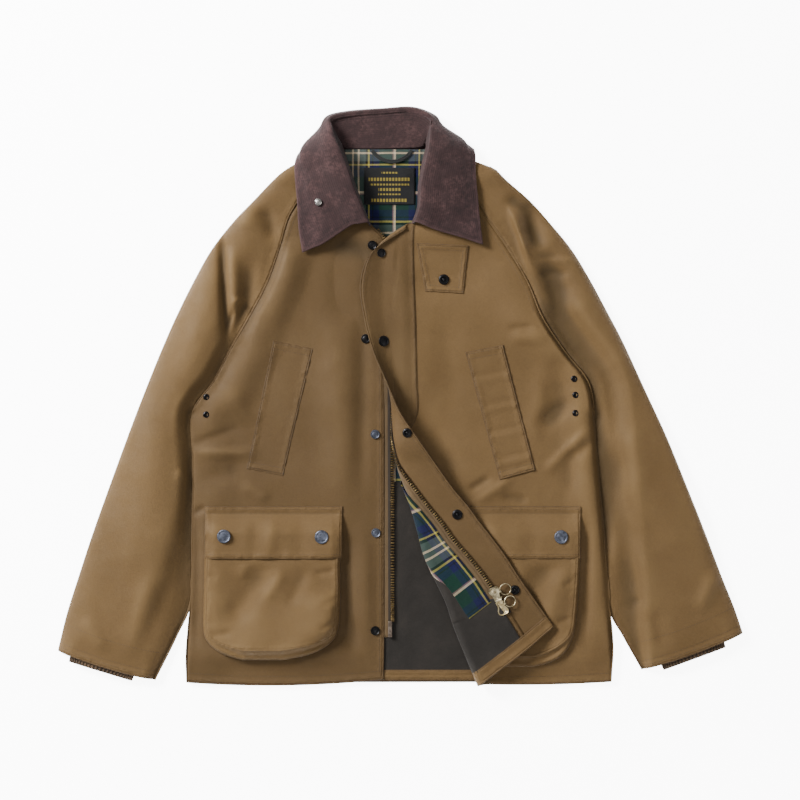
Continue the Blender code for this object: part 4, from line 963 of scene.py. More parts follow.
FINISHES = {
    "waxed_khaki": WaxedCotton(),
    # Darker copy of the waxed cotton: painted shade on the right front, the storm flap and the
    # right hand-warmer.
    "waxed_shaded": WaxedCotton(shade_tone=0.76),
    "corduroy_brown": Corduroy(),
    "plaid_lining": Plaid(),
    "dark_lining": PlainCloth(tint(36, 32, 28), tint(24, 21, 18), Weave.PLAIN, 0.0009, 0.85,
                              0.0002, 0.02),
    "rib_knit": PlainCloth(tint(78, 60, 42), tint(30, 23, 16), Weave.RIB, 0.0036, 0.9, 0.001,
                           0.1),
    "woven_label": Label(),
    "zip_tape": PlainCloth(tint(84, 66, 41), tint(62, 48, 29), Weave.TWILL, 0.0012,
                           shade_band=0.0042),
    "hanger_web": PlainCloth(tint(17, 21, 18), tint(9, 10, 9), Weave.TWILL, 0.0012),
    "teeth_brass": Metal(tint(112, 93, 60), tint(64, 51, 31), 0.38, 0.35),
    "worn_brass": Metal(tint(186, 174, 142), tint(112, 100, 76), 0.36, 0.7),
    "bright_brass": Metal(tint(206, 188, 146), tint(140, 122, 84), 0.3, 0.35),
    "blued_steel": Metal(tint(88, 92, 104), tint(58, 61, 70), 0.42, 0.15),
    "black_steel": Metal(tint(30, 29, 30), tint(15, 15, 16), 0.32, 0.3),
    "silver_steel": Metal(tint(150, 148, 144), tint(98, 95, 92), 0.3, 0.3),
    "dull_steel": Metal(tint(112, 100, 90), tint(76, 66, 58), 0.45, 0.3),
    "thread": Thread(),
    "floor": Paper(),
}


def material(finish: str) -> bpy.types.Material:
    """The material of a finish, made the first time that it is asked for."""
    name = f"{finish}_finish"
    return bpy.data.materials.get(name) or FINISHES[finish].make(name)


# ---- thin shells -----------------------------------------------------------------------
SHADE_REACH = 17.0        # half the window over which a point is judged high or low, for the painted shade
RIM_ROUND = 0.4            # share of its thickness by which a turned edge is rounded out


def smoothed(values: Grid, reach: int, axis: int) -> Grid:
    """Mean over a window along one axis, with the ends carried on."""
    pad = [(0, 0), (0, 0)]
    pad[axis] = (reach + 1, reach)
    total = np.moveaxis(np.cumsum(np.pad(values, pad, mode="edge"), axis=axis), axis, 0)
    window = 2 * reach + 1
    return np.moveaxis((total[window:] - total[:-window]) / window, 0, axis)


def link(name: str, data: bpy.types.ID) -> bpy.types.Object:
    """Put a new object into the scene."""
    obj = bpy.data.objects.new(name, data)
    bpy.context.scene.collection.objects.link(obj)
    return obj


def lay_out(mesh: bpy.types.Mesh, uv: Grid) -> None:
    """Give a mesh its cloth coordinates, one pair for each of its points."""
    corners = np.empty(len(mesh.loops), np.int32)
    mesh.loops.foreach_get("vertex_index", corners)
    mesh.uv_layers.new(name="cloth").data.foreach_set("uv", uv[corners].ravel())


def store(mesh: bpy.types.Mesh, name: str, values: Grid) -> None:
    """Store a measure at each point of a mesh: millimetres given, metres kept."""
    mesh.attributes.new(name, "FLOAT", "POINT").data.foreach_set("value", values * MM)


def cloth_uv(across: Grid, along: Grid) -> Grid:
    """Cloth coordinates in metres from two measures in millimetres."""
    return np.stack(np.broadcast_arrays(across, along), axis=2) * MM


@dataclass
class Sheet:
    """A thin closed shell over a grid of points, with its cloth coordinates.

    Attributes:
        name: Name of the piece.
        outer: Points of its outer face, rows by columns, in millimetres.
        thickness: Thickness of the cloth, in millimetres.
        finish: Name of the finish, which also gives the material slot.
        nodes: Solids that it stands for.
        uv: Cloth coordinates of each point, in metres; the plan where it is None.
        edge: Distance of each point from the nearest sewn edge, in millimetres.
        low: Painted shade added at each point as extra depth, in millimetres; below zero, a
            painted highlight.
        up_at: Row and column of a point whose outer face looks up.
        rests_on: What the sheet lies on; not used.
    """

    name: str
    outer: Grid
    thickness: float
    finish: str
    nodes: tuple[str, ...] = ()
    uv: Grid | None = None
    edge: Grid | None = None
    low: Grid | float = 0.0
    up_at: tuple[int, int] = (-2, -2)
    rests_on: tuple[str, ...] = ()

    def normals(self) -> tuple[Grid, bool]:
        """Unit normals of the outer face, and whether they had to be turned over."""
        down, over = np.gradient(self.outer, axis=(0, 1))
        normal = unit(np.cross(over, down))
        flip = bool(normal[self.up_at][2] < 0)
        return (-normal if flip else normal), flip

    def rim(self) -> tuple[Grid, Grid]:
        """Each boundary point in order round the grid, and the grid's point next inside."""
        rows, columns = self.outer.shape[:2]
        loop = np.array([(0, j) for j in range(columns)]
                        + [(i, columns - 1) for i in range(1, rows)]
                        + [(rows - 1, j) for j in range(columns - 2, -1, -1)]
                        + [(i, 0) for i in range(rows - 2, 0, -1)])
        inside = np.clip(loop, (1, 1), (rows - 2, columns - 2))
        return tuple(loop.T), tuple(inside.T)

    def shade_depths(self) -> Grid:
        """How far each point lies below the cloth round it, plus low, in millimetres: the painted
        shade.
        """
        level = self.outer[..., 2]
        for axis in (0, 1):
            step = np.linalg.norm(np.diff(self.outer, axis=axis), axis=2).mean()
            reach = max(1, min(int(SHADE_REACH / step), level.shape[axis] // 2))
            level = smoothed(smoothed(level, reach, axis), reach, axis)
        return level - self.outer[..., 2] + self.low

    def faces(self, rim: tuple[Grid, Grid], flip: bool) -> Grid:
        """Faces of the shell: outer and inner side, and two rows round the rim."""
        rows, columns = self.outer.shape[:2]
        count = rows * columns
        index = np.arange(count).reshape(rows, columns)
        quads = np.stack([index[:-1, :-1], index[:-1, 1:], index[1:, 1:], index[1:, :-1]],
                         axis=-1).reshape(-1, 4)
        a = index[rim]
        b = np.roll(a, -1)
        mid_a = 2 * count + np.arange(len(a))
        mid_b = np.roll(mid_a, -1)
        faces = np.concatenate([
            quads, quads[:, ::-1] + count,
            np.stack([b, a, mid_a, mid_b], axis=1),
            np.stack([mid_b, mid_a, a + count, b + count], axis=1)])
        return faces[:, ::-1] if flip else faces

    def build(self) -> None:
        outer = self.outer
        normal, flip = self.normals()
        inner = outer - normal * self.thickness
        rim, inside = self.rim()
        outwards = unit(outer[rim] - outer[inside])
        middle = (outer[rim] + inner[rim]) / 2 + outwards * self.thickness * RIM_ROUND
        points = np.concatenate([outer.reshape(-1, 3), inner.reshape(-1, 3), middle]) * MM
        mesh = bpy.data.meshes.new(f"{self.name}_cloth")
        mesh.from_pydata(points.tolist(), [], self.faces(rim, flip).tolist())
        mesh.shade_smooth()
        uv = outer[..., :2] * MM if self.uv is None else self.uv
        lay_out(mesh, np.concatenate([uv.reshape(-1, 2), uv.reshape(-1, 2), uv[rim]]))
        away = np.full(outer.shape[:2], FAR) if self.edge is None else self.edge
        store(mesh, "edge", np.concatenate([away.ravel(), away.ravel(), away[rim]]))
        # Painted shade: each point's depth below the cloth round it is stored for the material.
        low = self.shade_depths()
        store(mesh, "hollow", np.concatenate([low.ravel(), 0 * low.ravel(), low[rim]]))
        obj = link(mesh.name, mesh)
        dress(obj, self.finish, self.nodes)


def dress(obj: bpy.types.Object, finish: str, nodes: Iterable[str] = (),
          body: str = "garment") -> None:
    """Give a piece its finish, its body and the solids that it stands for."""
    obj.data.materials.clear()
    obj.data.materials.append(material(finish))
    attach(obj, body)
    if nodes:
        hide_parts(*nodes)


def row_points(left: Grid, right: Grid, across: Grid) -> Grid:
    """Plan points between two outlines, rows by columns."""
    across = np.asarray(across)[None, :, None]
    return left[:, None] * (1 - across) + right[:, None] * across


def bow_end(plan: Grid, across: Grid, bow: float) -> None:
    """Bow the last rows of a panel downwards in their middle."""
    last = ease(np.arange(len(plan)), len(plan) - BOWED_ROWS, len(plan) - 1)
    plan[..., 1] -= bow * last[:, None] * arch(across)


def unsewn(plan: Grid) -> Grid:
    """Distance that stands for a plain fold, where the side has no seam."""
    return 20 * ease(-plan[..., 1], 10.0, 40.0)


def with_height(plan: Grid, height: Grid) -> Grid:
    """Put heights under plan points."""
    return np.concatenate([plan, np.asarray(height)[..., None]], axis=-1)


def boundary_distance(plan: Grid, sides: str = "nesw") -> Grid:
    """Distance from the chosen sides of a grid: n first row, s last row, w and e its ends."""
    lines = {"n": plan[0], "s": plan[-1], "w": plan[:, 0], "e": plan[:, -1]}
    return np.minimum.reduce([distance(plan, lines[s][::4] if len(lines[s]) > 40 else lines[s])
                              for s in sides])


# ---- body ------------------------------------------------------------------------------
@dataclass
class Body:
    """Back, right front and the linings that show inside the back."""

    lap: float = 1.6            # how far a front runs under the sleeve at the armhole
    groove: float = 0.9         # depth of the armhole seam

    def back(self) -> None:
        """Make the back, flat on the surface and lifted a little over the collar."""
        table = spline(TORSO, stations(np.asarray(TORSO)[:, :2], 9.0))
        plan = row_points(table[:, :2], table[:, 2:], shares(560.0, 9.0))
        height = LAYER - 0.1 + neck_lift(plan[..., 1])
        Sheet("back", with_height(plan, height), LAYER - 0.2, "waxed_khaki", ("back_panel",),
              edge=boundary_distance(plan)).build()

    def right_front(self) -> None:
        """Make the wearer's right front, from the side seam to its free edge."""
        table = spline(FRONT_RIGHT, stations(np.asarray(FRONT_RIGHT)[:, :2], STEP))
        across = shares(262.0)
        plan = row_points(table[:, :2] - (self.lap, 0), table[:, 2:], across)
        bow_end(plan, across, HEM_BOW)
        free = boundary_distance(plan, "es")
        away = np.minimum(free, boundary_distance(plan, "w") + 1.0 + unsewn(plan))
        height = cloth_top(plan) - seam_groove(plan, -1, self.groove) - rolled(free)
        # Painted shadow on the chest below the collar.
        collar_shadow = Crease((-98, 212), (-12, 208), 3.2, 20).lift(plan)
        Sheet("front_right", with_height(plan, height), CLOTH, "waxed_shaded",
              ("front_right",), edge=away, low=collar_shadow, rests_on=("back",)).build()

    def inside_layer(self, name: str, rows: Sequence[Sequence[float]], finish: str,
                     thickness: float, node: str) -> None:
        """Make a layer that lies on the inside of the back.

        Args:
            name: Name of the piece.
            rows: Left and right end of each row, in millimetres.
            finish: Name of its finish.
            thickness: Its thickness.
            node: Solid that it stands for.
        """
        table = spline(rows, stations(np.asarray(rows, float)[:, :2], 4.0))
        plan = row_points(table[:, :2], table[:, 2:], np.linspace(0, 1, 40))
        away = boundary_distance(plan)
        lift = Ripple(len(name), 120.0, 30.0, 0.35).lift(plan) * ease(away, 0.0, 20.0)
        height = (LAYER + GAP + thickness + neck_lift(plan[..., 1])
                  + np.maximum(lift, -0.1))
        Sheet(name, with_height(plan, height), thickness, finish, (node,), edge=away,
              rests_on=("back",)).build()

    def build(self) -> None:
        """Make the back, the right front, and the linings and hem facing in the back."""
        self.back()
        self.right_front()
        self.inside_layer("yoke_lining", ((-84, 341, 42, 341), (-84, 200, 42, 200),
                                          (-60, -60, 60, -60), (-60, -114, 60, -114)),
                          "plaid_lining", 0.9, "lining_yoke")
        self.inside_layer("lower_lining", ((-60, -113, 60, -113), (-60, -240, 75, -240),
                                           (-60, -373, 110, -373)),
                          "dark_lining", 0.9, "lining_lower")
        self.inside_layer("hem_facing", ((-60, -372, 110, -372), (-60, -386, 110, -386)),
                          "waxed_khaki", 1.1, "hem_facing_back")


def seam_groove(plan: Grid, side: int, depth: float) -> Grid:
    """Depth of the armhole seam under plan points of one side."""
    fall = np.exp(-(distance(plan, ARMHOLE[side]) / 2.0) ** 2)
    return depth * fall * (0.2 + 0.8 * ease(plan[..., 1], 110.0, 190.0))


def rolled(away: Grid, depth: float = 0.7, reach: float = 3.2) -> Grid:
    """How far a turned-in edge rounds down near its end."""
    return depth * (1 - ease(away, 0.0, reach))


@dataclass
class TurnedFront:
    """The left front with its roll, and all that is sewn on its turned-back part."""

    first: float = 6.0          # distance of the free edge from the zip line
    side_lap: float = 1.6       # how far it runs under the sleeve at the armhole
    laid_columns: int = 24
    roll_columns: int = 14
    edge_stand: float = 5.5     # how far the flap's free edge stands up where it lies flat
    check_shift: float = 57.8   # where the facing's cloth begins in the check
    facing_rows: tuple[float, float] = (12.3, 18.2)
    lining_rows: tuple[float, float] = (FACING_TURNS + 0.1, 19.66)
    facing_end: tuple[float, float] = (17.9, 18.1)
    hem_rows: tuple[float, float] = (19.60, 20.0)
    frames: Grid = field(init=False)

    def __post_init__(self) -> None:
        """Work out where each row leaves the front, which way it rolls and how far."""
        rows = np.asarray(FRONT_LEFT, float)
        index = np.arange(len(rows))
        before = spline(rows, np.maximum(index - 0.5, UNDERARM_ROW))
        after = spline(rows, np.minimum(index + 0.5, len(rows) - 1))
        turn = np.radians(rows[:, 4])
        tangent = unit(after[:, 2:4] - before[:, 2:4])
        tangent[turn == 0] = (0, -1)
        normal = np.stack([tangent[:, 1], -tangent[:, 0]], axis=1)
        full = turn > math.radians(179)
        sine = np.where(full, 1.0, np.sin(np.minimum(turn, math.pi / 2)))
        start = rows[:, 2:4] - normal * ROLL * sine[:, None]
        reach = rows[:, 5:7] - start
        length = np.where(full, math.pi * ROLL - (reach * normal).sum(1), ROLL * turn)
        shift = np.where(full, (reach * tangent).sum(1), 0.0)
        angle = np.unwrap(np.arctan2(normal[:, 1], normal[:, 0]) % (2 * math.pi))
        self.frames = np.column_stack([rows[:, :2], start, angle, length, shift])

    def at(self, index: Grid) -> Grid:
        """Side point, start, roll direction, cloth length and shift of fractional rows."""
        return spline(self.frames, index)

    def points(self, index: Grid, back: Grid, offset: Grid | float) -> Grid:
        """Find points of the front's surface.

        Args:
            index: Fractional row numbers, one for each row of back.
            back: Distances back from the zip line, rows by columns.
            offset: Distance from the outer face towards the inside.

        Returns:
            Points in millimetres, rows by columns.
        """
        side, start, angle, length, shift = np.split(self.at(index), (2, 4, 5, 6), axis=1)
        offset = np.broadcast_to(offset, back.shape)
        normal = np.concatenate([np.cos(angle), np.sin(angle)], axis=1)
        tangent = np.stack([-normal[:, 1], normal[:, 0]], axis=1)
        along = length - back
        to_side = unit(side - start)
        flat = start[:, None] - to_side[:, None] * np.minimum(along, 0.0)[..., None]
        turned = np.clip(along, 0.0, math.pi * ROLL) / ROLL
        beyond = np.maximum(along - math.pi * ROLL, 0.0)
        share = np.clip(along / np.maximum(length, 1e-6), 0, 1)
        radius = ROLL + offset
        out = radius * np.sin(turned) - beyond
        plan = (flat + tangent[:, None] * (shift * share)[..., None]
                + normal[:, None] * out[..., None])
        base = cloth_top(start)[:, None]
        under = base + ease(beyond, 0.0, 40.0) * (cloth_top(plan) - base)
        level = np.where(beyond > 0, under, base) + ROLL - radius * np.cos(turned)
        height = np.where(along <= 0, cloth_top(flat) - offset, level)
        return with_height(plan, height)

    def zip_line(self, index: Grid, offset: float = 0.0) -> Grid:
        """Points of the zip line at fractional rows."""
        return self.points(index, np.zeros((len(index), 1)), offset)[:, 0]

    def even_rows(self, first: float, last: float, step: float = STEP,
                  fold: bool = False) -> Grid:
        """Fractional rows spaced evenly along the zip line, or along the fold."""
        index = np.arange(first, last + 0.001, 0.05)
        line = self.at(index)[:, 2:4] if fold else self.zip_line(index)
        return np.interp(stations(line, step), np.arange(len(index)), index)

    def front(self) -> None:
        """Make the left front: laid back, rolled over its fold, then flat to the side."""
        index = self.even_rows(0, len(FRONT_LEFT) - 1, fold=True)
        frames = self.at(index)
        length = frames[:, 5]
        inner = np.maximum(length - math.pi * ROLL, self.first + 3.0)
        outer = np.maximum(np.maximum(length, 12.0), inner + 3.0)
        laid = np.linspace(self.first, inner, self.laid_columns, axis=1)
        rolled_part = np.linspace(inner, outer, self.roll_columns, axis=1)[:, 1:]
        laid_back = self.points(index, np.concatenate([laid, rolled_part], axis=1), 0.0)
        across = shares(250.0)[5:]
        plan = row_points(laid_back[:, -1, :2], frames[:, :2] + (self.side_lap, 0), across)
        bow_end(plan, across, HEM_BOW_LEFT)
        hem = boundary_distance(plan, "s")
        height = cloth_top(plan) - seam_groove(plan, 1, 0.9) - rolled(hem)
        face = np.concatenate([laid_back, with_height(plan, height)], axis=1)
        away = np.full(face.shape[:2], FAR)
        away[:, laid_back.shape[1]:] = 0.5 + np.minimum(
            boundary_distance(plan, "e") + unsewn(plan), hem)
        run = run_along(face, 1)
        Sheet("front_left", face, CLOTH, "waxed_khaki", ("front_left",),
              cloth_uv(run - run[:, -1:], face[:, -1:, 1]), away, up_at=(5, -3),
              rests_on=("back",)).build()

    def inner_offset(self, index: Grid, back: Grid, thickness: float) -> Grid:
        """Distance from the outer face to a layer sewn inside, larger in the roll."""
        bend = np.sin(np.clip(self.at(index)[:, 5:6] - back, 0, math.pi * ROLL) / ROLL)
        return LAYER + EASE + thickness + ROLL_EASE * np.maximum(bend, 0.0)

    def layer(self, name: str, rows: tuple[float, float], near: Height, far: Height,
              finish: str, nodes: tuple[str, ...], lift: float = 0.0) -> None:
        """Make a layer sewn on the inside of the turned-back part.

        Args:
            name: Name of the piece.
            rows: Rows where it begins and ends.
            near: Distance of its near edge from the zip line, by row.
            far: Distance of its far edge from the zip line, by row.
            finish: Name of its finish.
            nodes: Solids that it stands for.
            lift: Height added above its usual place.
        """
        index = self.even_rows(*rows)
        back = np.linspace(near(index), far(index), 30, axis=1)
        face = self.points(index, back, self.inner_offset(index, back, THIN + lift))
        run = run_along(self.zip_line(index), 0)
        Sheet(name, face, THIN, finish, nodes, cloth_uv(back - self.check_shift, run[:, None]),
              boundary_distance(face[..., :2]), up_at=(len(index) - 2, 1),
              rests_on=("front_left",)).build()

    def roll_foot(self, index: Grid) -> Grid:
        """Distance from the zip line to where a layer is hidden in the roll, by row."""
        return self.at(index)[:, 5] - 3.0

    def facing_near(self, index: Grid) -> Grid:
        """The facing's outer edge, beside the zip."""
        return np.full(len(index), FACING_NEAR)

    def facing_far(self, index: Grid) -> Grid:
        """The facing's inner edge: round the roll above, on the laid-back part below."""
        under = self.roll_foot(index)
        return under + (FACING_FAR - under) * ease(index, FACING_TURNS - 0.3, FACING_TURNS + 1.6)

    def lining_near(self, index: Grid) -> Grid:
        """The dark lining's outer edge: beside the facing, and beside the zip below it."""
        beside = self.facing_far(index) - 10.5
        return 6.5 + beside * (1 - ease(index, *self.facing_end))

    def hem_band(self) -> None:
        """Make the hem band, along the front's hem and on over the storm flap's end."""
        index = self.even_rows(*self.hem_rows, 1.4)
        back = np.linspace(2.0 + 0 * index, self.roll_foot(index), 36, axis=1)
        face = self.points(index, back, self.inner_offset(index, back, 0.9))
        share = np.linspace(0.985, 0.06, 14)
        over = self.flap_point(index, share)
        over[..., 2] += 1.5 + 2.4 * (1 - ease(share, 0.0, 0.7))
        grid = np.concatenate([over, face], axis=1)
        down = np.linspace(0, 16, len(index))[:, None]
        Sheet("hem_band", grid, 1.0, "waxed_khaki", ("hem_band_turned",),
              cloth_uv(run_along(grid, 1), down), boundary_distance(grid[..., :2], "nse"),
              up_at=(3, -8), rests_on=("front_left",)).build()

    def flap_controls(self) -> Grid:
        """Start, middle and end of the storm flap beyond the zip line, by row."""
        table = np.asarray(STORM_FLAP, float)
        index = np.arange(FLAP_TOP_ROW, len(FRONT_LEFT)).astype(float)
        start = self.zip_line(index, -EASE - GAP - LAYER / 2)
        edge = table[:, :2]
        end = with_height(edge, top_height(edge) + table[:, 2] - LAYER / 2)
        lean = np.radians(table[:, 3:4])
        ahead = (end - start) * (1, 1, 0)
        level = np.where((index >= FOLDED_ROW - 1)[:, None], unit(ahead), (-1.0, 0.0, 0.0))
        way = level * np.cos(lean) + np.sin(lean) * (0, 0, 1)
        middle = start + way * np.linalg.norm(end - start, axis=1, keepdims=True) * 0.5
        return np.stack([start, middle, end], axis=1)

    def flap_point(self, index: Grid, share: Grid) -> Grid:
        """Points of the storm flap's middle beyond the zip line.

        Args:
            index: Fractional rows, one for each row of points.
            share: 0 at the zip line to 1 at the free edge, one for each column.

        Returns:
            Points in millimetres, rows by columns.
        """
        start, middle, end = np.moveaxis(
            spline(self.flap_controls(), index - FLAP_TOP_ROW), 1, 0)[:, :, None]
        share = np.asarray(share)[None, :, None]
        flat = start * (1 - share) ** 2 + middle * 2 * share * (1 - share) + end * share ** 2
        stand = self.edge_stand * ease(share, 0.25, 1.0) * (
            1 - ease(index, FLAP_TOP_ROW + 3, FLAP_TOP_ROW + 5))[:, None, None]
        return flat + stand * (0.0, 0.0, 1.0)

    def flap_seam(self, index: Grid) -> Grid:
        """Distance of the storm flap's seam back from the zip line, by row."""
        return spline(np.asarray(STORM_FLAP, float)[:, 4:5], index - FLAP_TOP_ROW)

    def storm_flap(self) -> None:
        """Make the flap over the zip: flat above, standing at the turn, then laid back."""
        index = self.even_rows(FLAP_TOP_ROW, len(FRONT_LEFT) - 1)
        base = np.linspace(self.flap_seam(index)[:, 0], 0.0, 10, axis=1)[:, :-1]
        full = EASE + GAP + LAYER / 2
        sewn = self.points(index, base, 0.3 - (full + 0.3) * ease(base[:, :1] - base, 0, 20))
        edge_steps = np.concatenate([np.linspace(0, 0.94, 20), (0.965, 0.985, 1.0)])
        grid = np.concatenate([sewn, self.flap_point(index, edge_steps)], axis=1)
        run = run_along(grid, 1)
        down = run_along(grid[:, sewn.shape[1]], 0)
        # A painted highlight, lightening the storm flap round y = 40 mm.
        flap_highlight = -5.0 * np.exp(-((grid[..., 1] - 40.0) / 55.0) ** 2)
        Sheet("storm_flap", centred(grid, CLOTH, (0, 2)), CLOTH, "waxed_shaded",
              ("storm_flap",), cloth_uv(run, down[:, None]),
              np.minimum(run[:, -1:] - run, run + 1.5), flap_highlight, up_at=(0, 2),
              rests_on=("front_left",)).build()

    def build(self) -> None:
        """Make the left front, its storm flap, its facing, linings and hem band."""
        self.front()
        self.storm_flap()
        self.layer("facing", self.facing_rows, self.facing_near, self.facing_far,
                   "plaid_lining", ("facing_plaid",), lift=0.25)
        self.layer("turned_lining", self.lining_rows, self.lining_near, self.roll_foot,
                   "dark_lining", ("lining_turned_upper", "lining_turned_lower"))
        self.hem_band()


def centred(grid: Grid, thickness: float, up_at: tuple[int, int]) -> Grid:
    """Move a middle surface to its outer face."""
    return grid + Sheet("", grid, thickness, "", up_at=up_at).normals()[0] * thickness / 2


# ---- sleeves and cuffs -----------------------------------------------------------------
@dataclass
class Sleeve:
    """One two-piece raglan sleeve and its knitted inner cuff."""

    name: str
    table: tuple
    side: int
    cuff_shift: float
    beside: float = 0.0         # depth of the painted shadow that the body casts on the sleeve beside it
    # Painted shade in the sleeve's bunched folds, laid out as creases.
    shades: tuple[Crease, ...] = ()
    mouth_bow: float = 4.0
    # distance beyond the mouth, half width and half height of the cuff
    cuff_sections: tuple = ((-52.0, 46.0, 4.0), (-20.0, 47.0, 4.0), (0.0, 46.0, 3.9),
                            (10.0, 45.0, 4.0))

    def upper_height(self, plan: Grid) -> Grid:
        """Height of the upper cut, full beside the shoulder's seam and rolled at its mouth."""
        height = sleeve_top(plan)
        height += 0.55 * ease(height, 5.0, 7.0) * ease(plan[..., 1], 140.0, 190.0) * (
            1 - ease(distance(plan, ARMHOLE[self.side]), 4.0, 30.0))
        return height - seam_groove(plan, self.side, 1.1) - rolled(boundary_distance(plan, "s"))

    def shade(self, plan: Grid) -> Grid:
        """Painted shade on the upper cut: the body's shadow beside it and the shade in its
        bunched folds.
        """
        y = plan[..., 1]
        reach = 25 + 13 * ease(y, -40.0, 50.0)
        low = (self.beside * (1 - ease(torso_distance(plan) / reach, 0.0, 1.0))
               * ease(150.0 - y, 0.0, 60.0) * (1 - ease(-y, 150.0, 225.0)))
        return with_creases(low, self.shades, plan)

    def build(self) -> None:
        """Make the upper and lower sleeve and the cuff."""
        table = np.asarray(self.table, float)
        middle = (table[:, :2] + table[:, 2:]) / 2
        rows = spline(table, stations(middle, STEP))
        outer, inner = rows[:, :2], rows[:, 2:].copy()
        inner[:, 0] -= self.side * (2.4 - 1.2 * ease(inner[:, 1], -30.0, -5.0))
        across = shares(120.0)
        plan = row_points(outer, inner, across)
        bow_end(plan, across, self.mouth_bow)
        along = unit(middle[-1] - middle[8])
        uv = cloth_uv(plan @ np.array((along[1], -along[0])), plan @ along)
        lower = f"sleeve_{self.name}_lower"
        Sheet(f"sleeve_{self.name}_upper", with_height(plan, self.upper_height(plan)), CLOTH,
              "waxed_khaki", (f"sleeve_{self.name}_front",), uv,
              boundary_distance(plan, "es"), self.shade(plan), rests_on=(lower,)).build()
        ends = unit(inner - outer) * 1.6
        under = row_points(outer + ends, inner - ends, np.linspace(0, 1, 16))[::2]
        Sheet(lower, with_height(under, LAYER - 0.1 + neck_lift(under[..., 1])), LAYER - 0.2,
              "waxed_khaki", (f"sleeve_{self.name}_back",),
              edge=boundary_distance(under)).build()
        self.cuff()

    def cuff(self) -> None:
        """Make the ribbed inner cuff: a flat tube open at both ends."""
        outer, inner = (np.array(p, float) for p in (self.table[-1][:2], self.table[-1][2:]))
        over = unit(inner - outer)
        along = np.array((over[1], -over[0]))
        along = along if along[1] < 0 else -along
        middle = (outer + inner) / 2 + over * self.cuff_shift
        sections = spline(self.cuff_sections, np.linspace(0, 3, 24))
        turns = np.linspace(0, 2 * math.pi, 240, endpoint=False)
        c, s = np.cos(turns), np.sin(turns)
        loops = []
        for wall_in, ribbed in ((0.0, True), (LAYER - 0.4, False)):
            rib = 0.35 * np.sin(turns * 52) * ribbed
            half = sections[:, 1:2] - wall_in + rib * abs(c)
            tall = sections[:, 2:3] - wall_in + rib * abs(s) * 0.6
            plan = (middle + along * sections[:, :1])[:, None] + over * (half * c)[..., None]
            z = LAYER + GAP + sections[:, 2:3] + tall * np.sign(s) * np.sqrt(abs(s))
            loops.append(with_height(plan, z))
        tube = np.concatenate([loops[0], loops[1][::-1]])
        index = np.arange(tube[..., 0].size).reshape(tube.shape[:2])
        below, beside = np.roll(index, -1, 0), np.roll(index, -1, 1)
        faces = np.stack([index, beside, np.roll(below, -1, 1), below], axis=-1).reshape(-1, 4)
        mesh = bpy.data.meshes.new(f"cuff_{self.name}")
        mesh.from_pydata((tube.reshape(-1, 3) * MM).tolist(), [], faces.tolist())
        bm = bmesh.new()
        bm.from_mesh(mesh)
        bmesh.ops.recalc_face_normals(bm, faces=bm.faces)
        bm.to_mesh(mesh)
        bm.free()
        mesh.shade_smooth()
        down = np.concatenate([sections[:, 0], sections[::-1, 0]])[:, None]
        lay_out(mesh, cloth_uv(turns[None, :] * 30.0, down).reshape(-1, 2))
        obj = link(f"cuff_{self.name}", mesh)
        dress(obj, "rib_knit", (f"cuff_knit_{self.name}",))
        LOG.info("cuff_%s: cut 0.200 x 0.062 m, 0.0123 m2", self.name)


# ---- collar ----------------------------------------------------------------------------
@dataclass
class Collar:
    """Corduroy collar: the leaf folded over outside, and the stand inside."""

    thickness: float = 1.6
    step: float = 2.6

    def controls(self) -> tuple[Grid, Grid]:
        """Control points of the leaf and the stand, a row for each row of COLLAR."""
        table = np.asarray(COLLAR, float)
        count = len(table)
        roll, near, far, edge = (table[:, k:k + 3] for k in (0, 3, 6, 9))
        neck = table[:, 12:14]
        row = np.arange(count)
        behind = (row >= 6) & (row <= count - 7)
        base = np.where(behind, LAYER + neck_lift(neck[:, 1]) + 0.5,
                        top_height(neck) + GAP + 0.2) + LAYER / 2
        foot = with_height(neck, base)
        turn = (far + edge) / 2
        under = edge[:, 2] < LAYER
        turn[under] = np.column_stack([far[under, :2] * 0.8 + edge[under, :2] * 0.2,
                                       edge[under, 2] + 0.5])
        down = unit(foot - roll)
        inwards = unit((foot - roll) * (1, 1, 0))
        leaf = np.stack([roll + down * 3.4 + inwards * 1.9, roll + inwards * 0.6,
                         (roll + near) / 2 + (0, 0, 1.0), near, far, turn, edge], axis=1)
        top = roll + down * (LAYER + 0.8) - (0, 0, 0.6)
        stand = np.stack([top, top * 0.65 + foot * 0.35, top * 0.3 + foot * 0.7, foot], axis=1)
        return leaf, stand

    def surface(self, controls: Grid, columns: int) -> Grid:
        """Read a smooth grid from control points."""
        at = stations(controls[:, -3], self.step)
        grid = spline(controls, at)
        across = np.linspace(0, controls.shape[1] - 1, columns)
        return np.moveaxis(spline(np.moveaxis(grid, 1, 0), across), 0, 1)

    def build(self) -> None:
        """Make the leaf and the stand."""
        leaf, stand = self.controls()
        for name, controls, columns in (("collar_leaf", leaf, 44), ("collar_stand", stand, 60)):
            grid = self.surface(controls, columns)
            if name == "collar_leaf":
                wave = Ripple(21, 90.0, 28.0, 0.5)
                grid[..., 2] += wave.lift(grid[..., :2]) * ease(grid[..., 2], 8.0, 14.0)
            down, over = run_along(grid, 0), run_along(grid, 1)
            away = np.minimum(over[:, -1:] - over, np.minimum(down, down[-1:] - down))
            if name == "collar_stand":
                away = np.where(over < 9.6, 6.0 + abs((over + 0.6) % 3.2 - 1.6), FAR)
            up_at = (2, 2) if name == "collar_leaf" else (9, 10)
            Sheet(name, centred(grid, self.thickness, up_at), self.thickness, "corduroy_brown",
                  (name,), cloth_uv(over, down), away, up_at=up_at,
                  rests_on=("front_right",)).build()


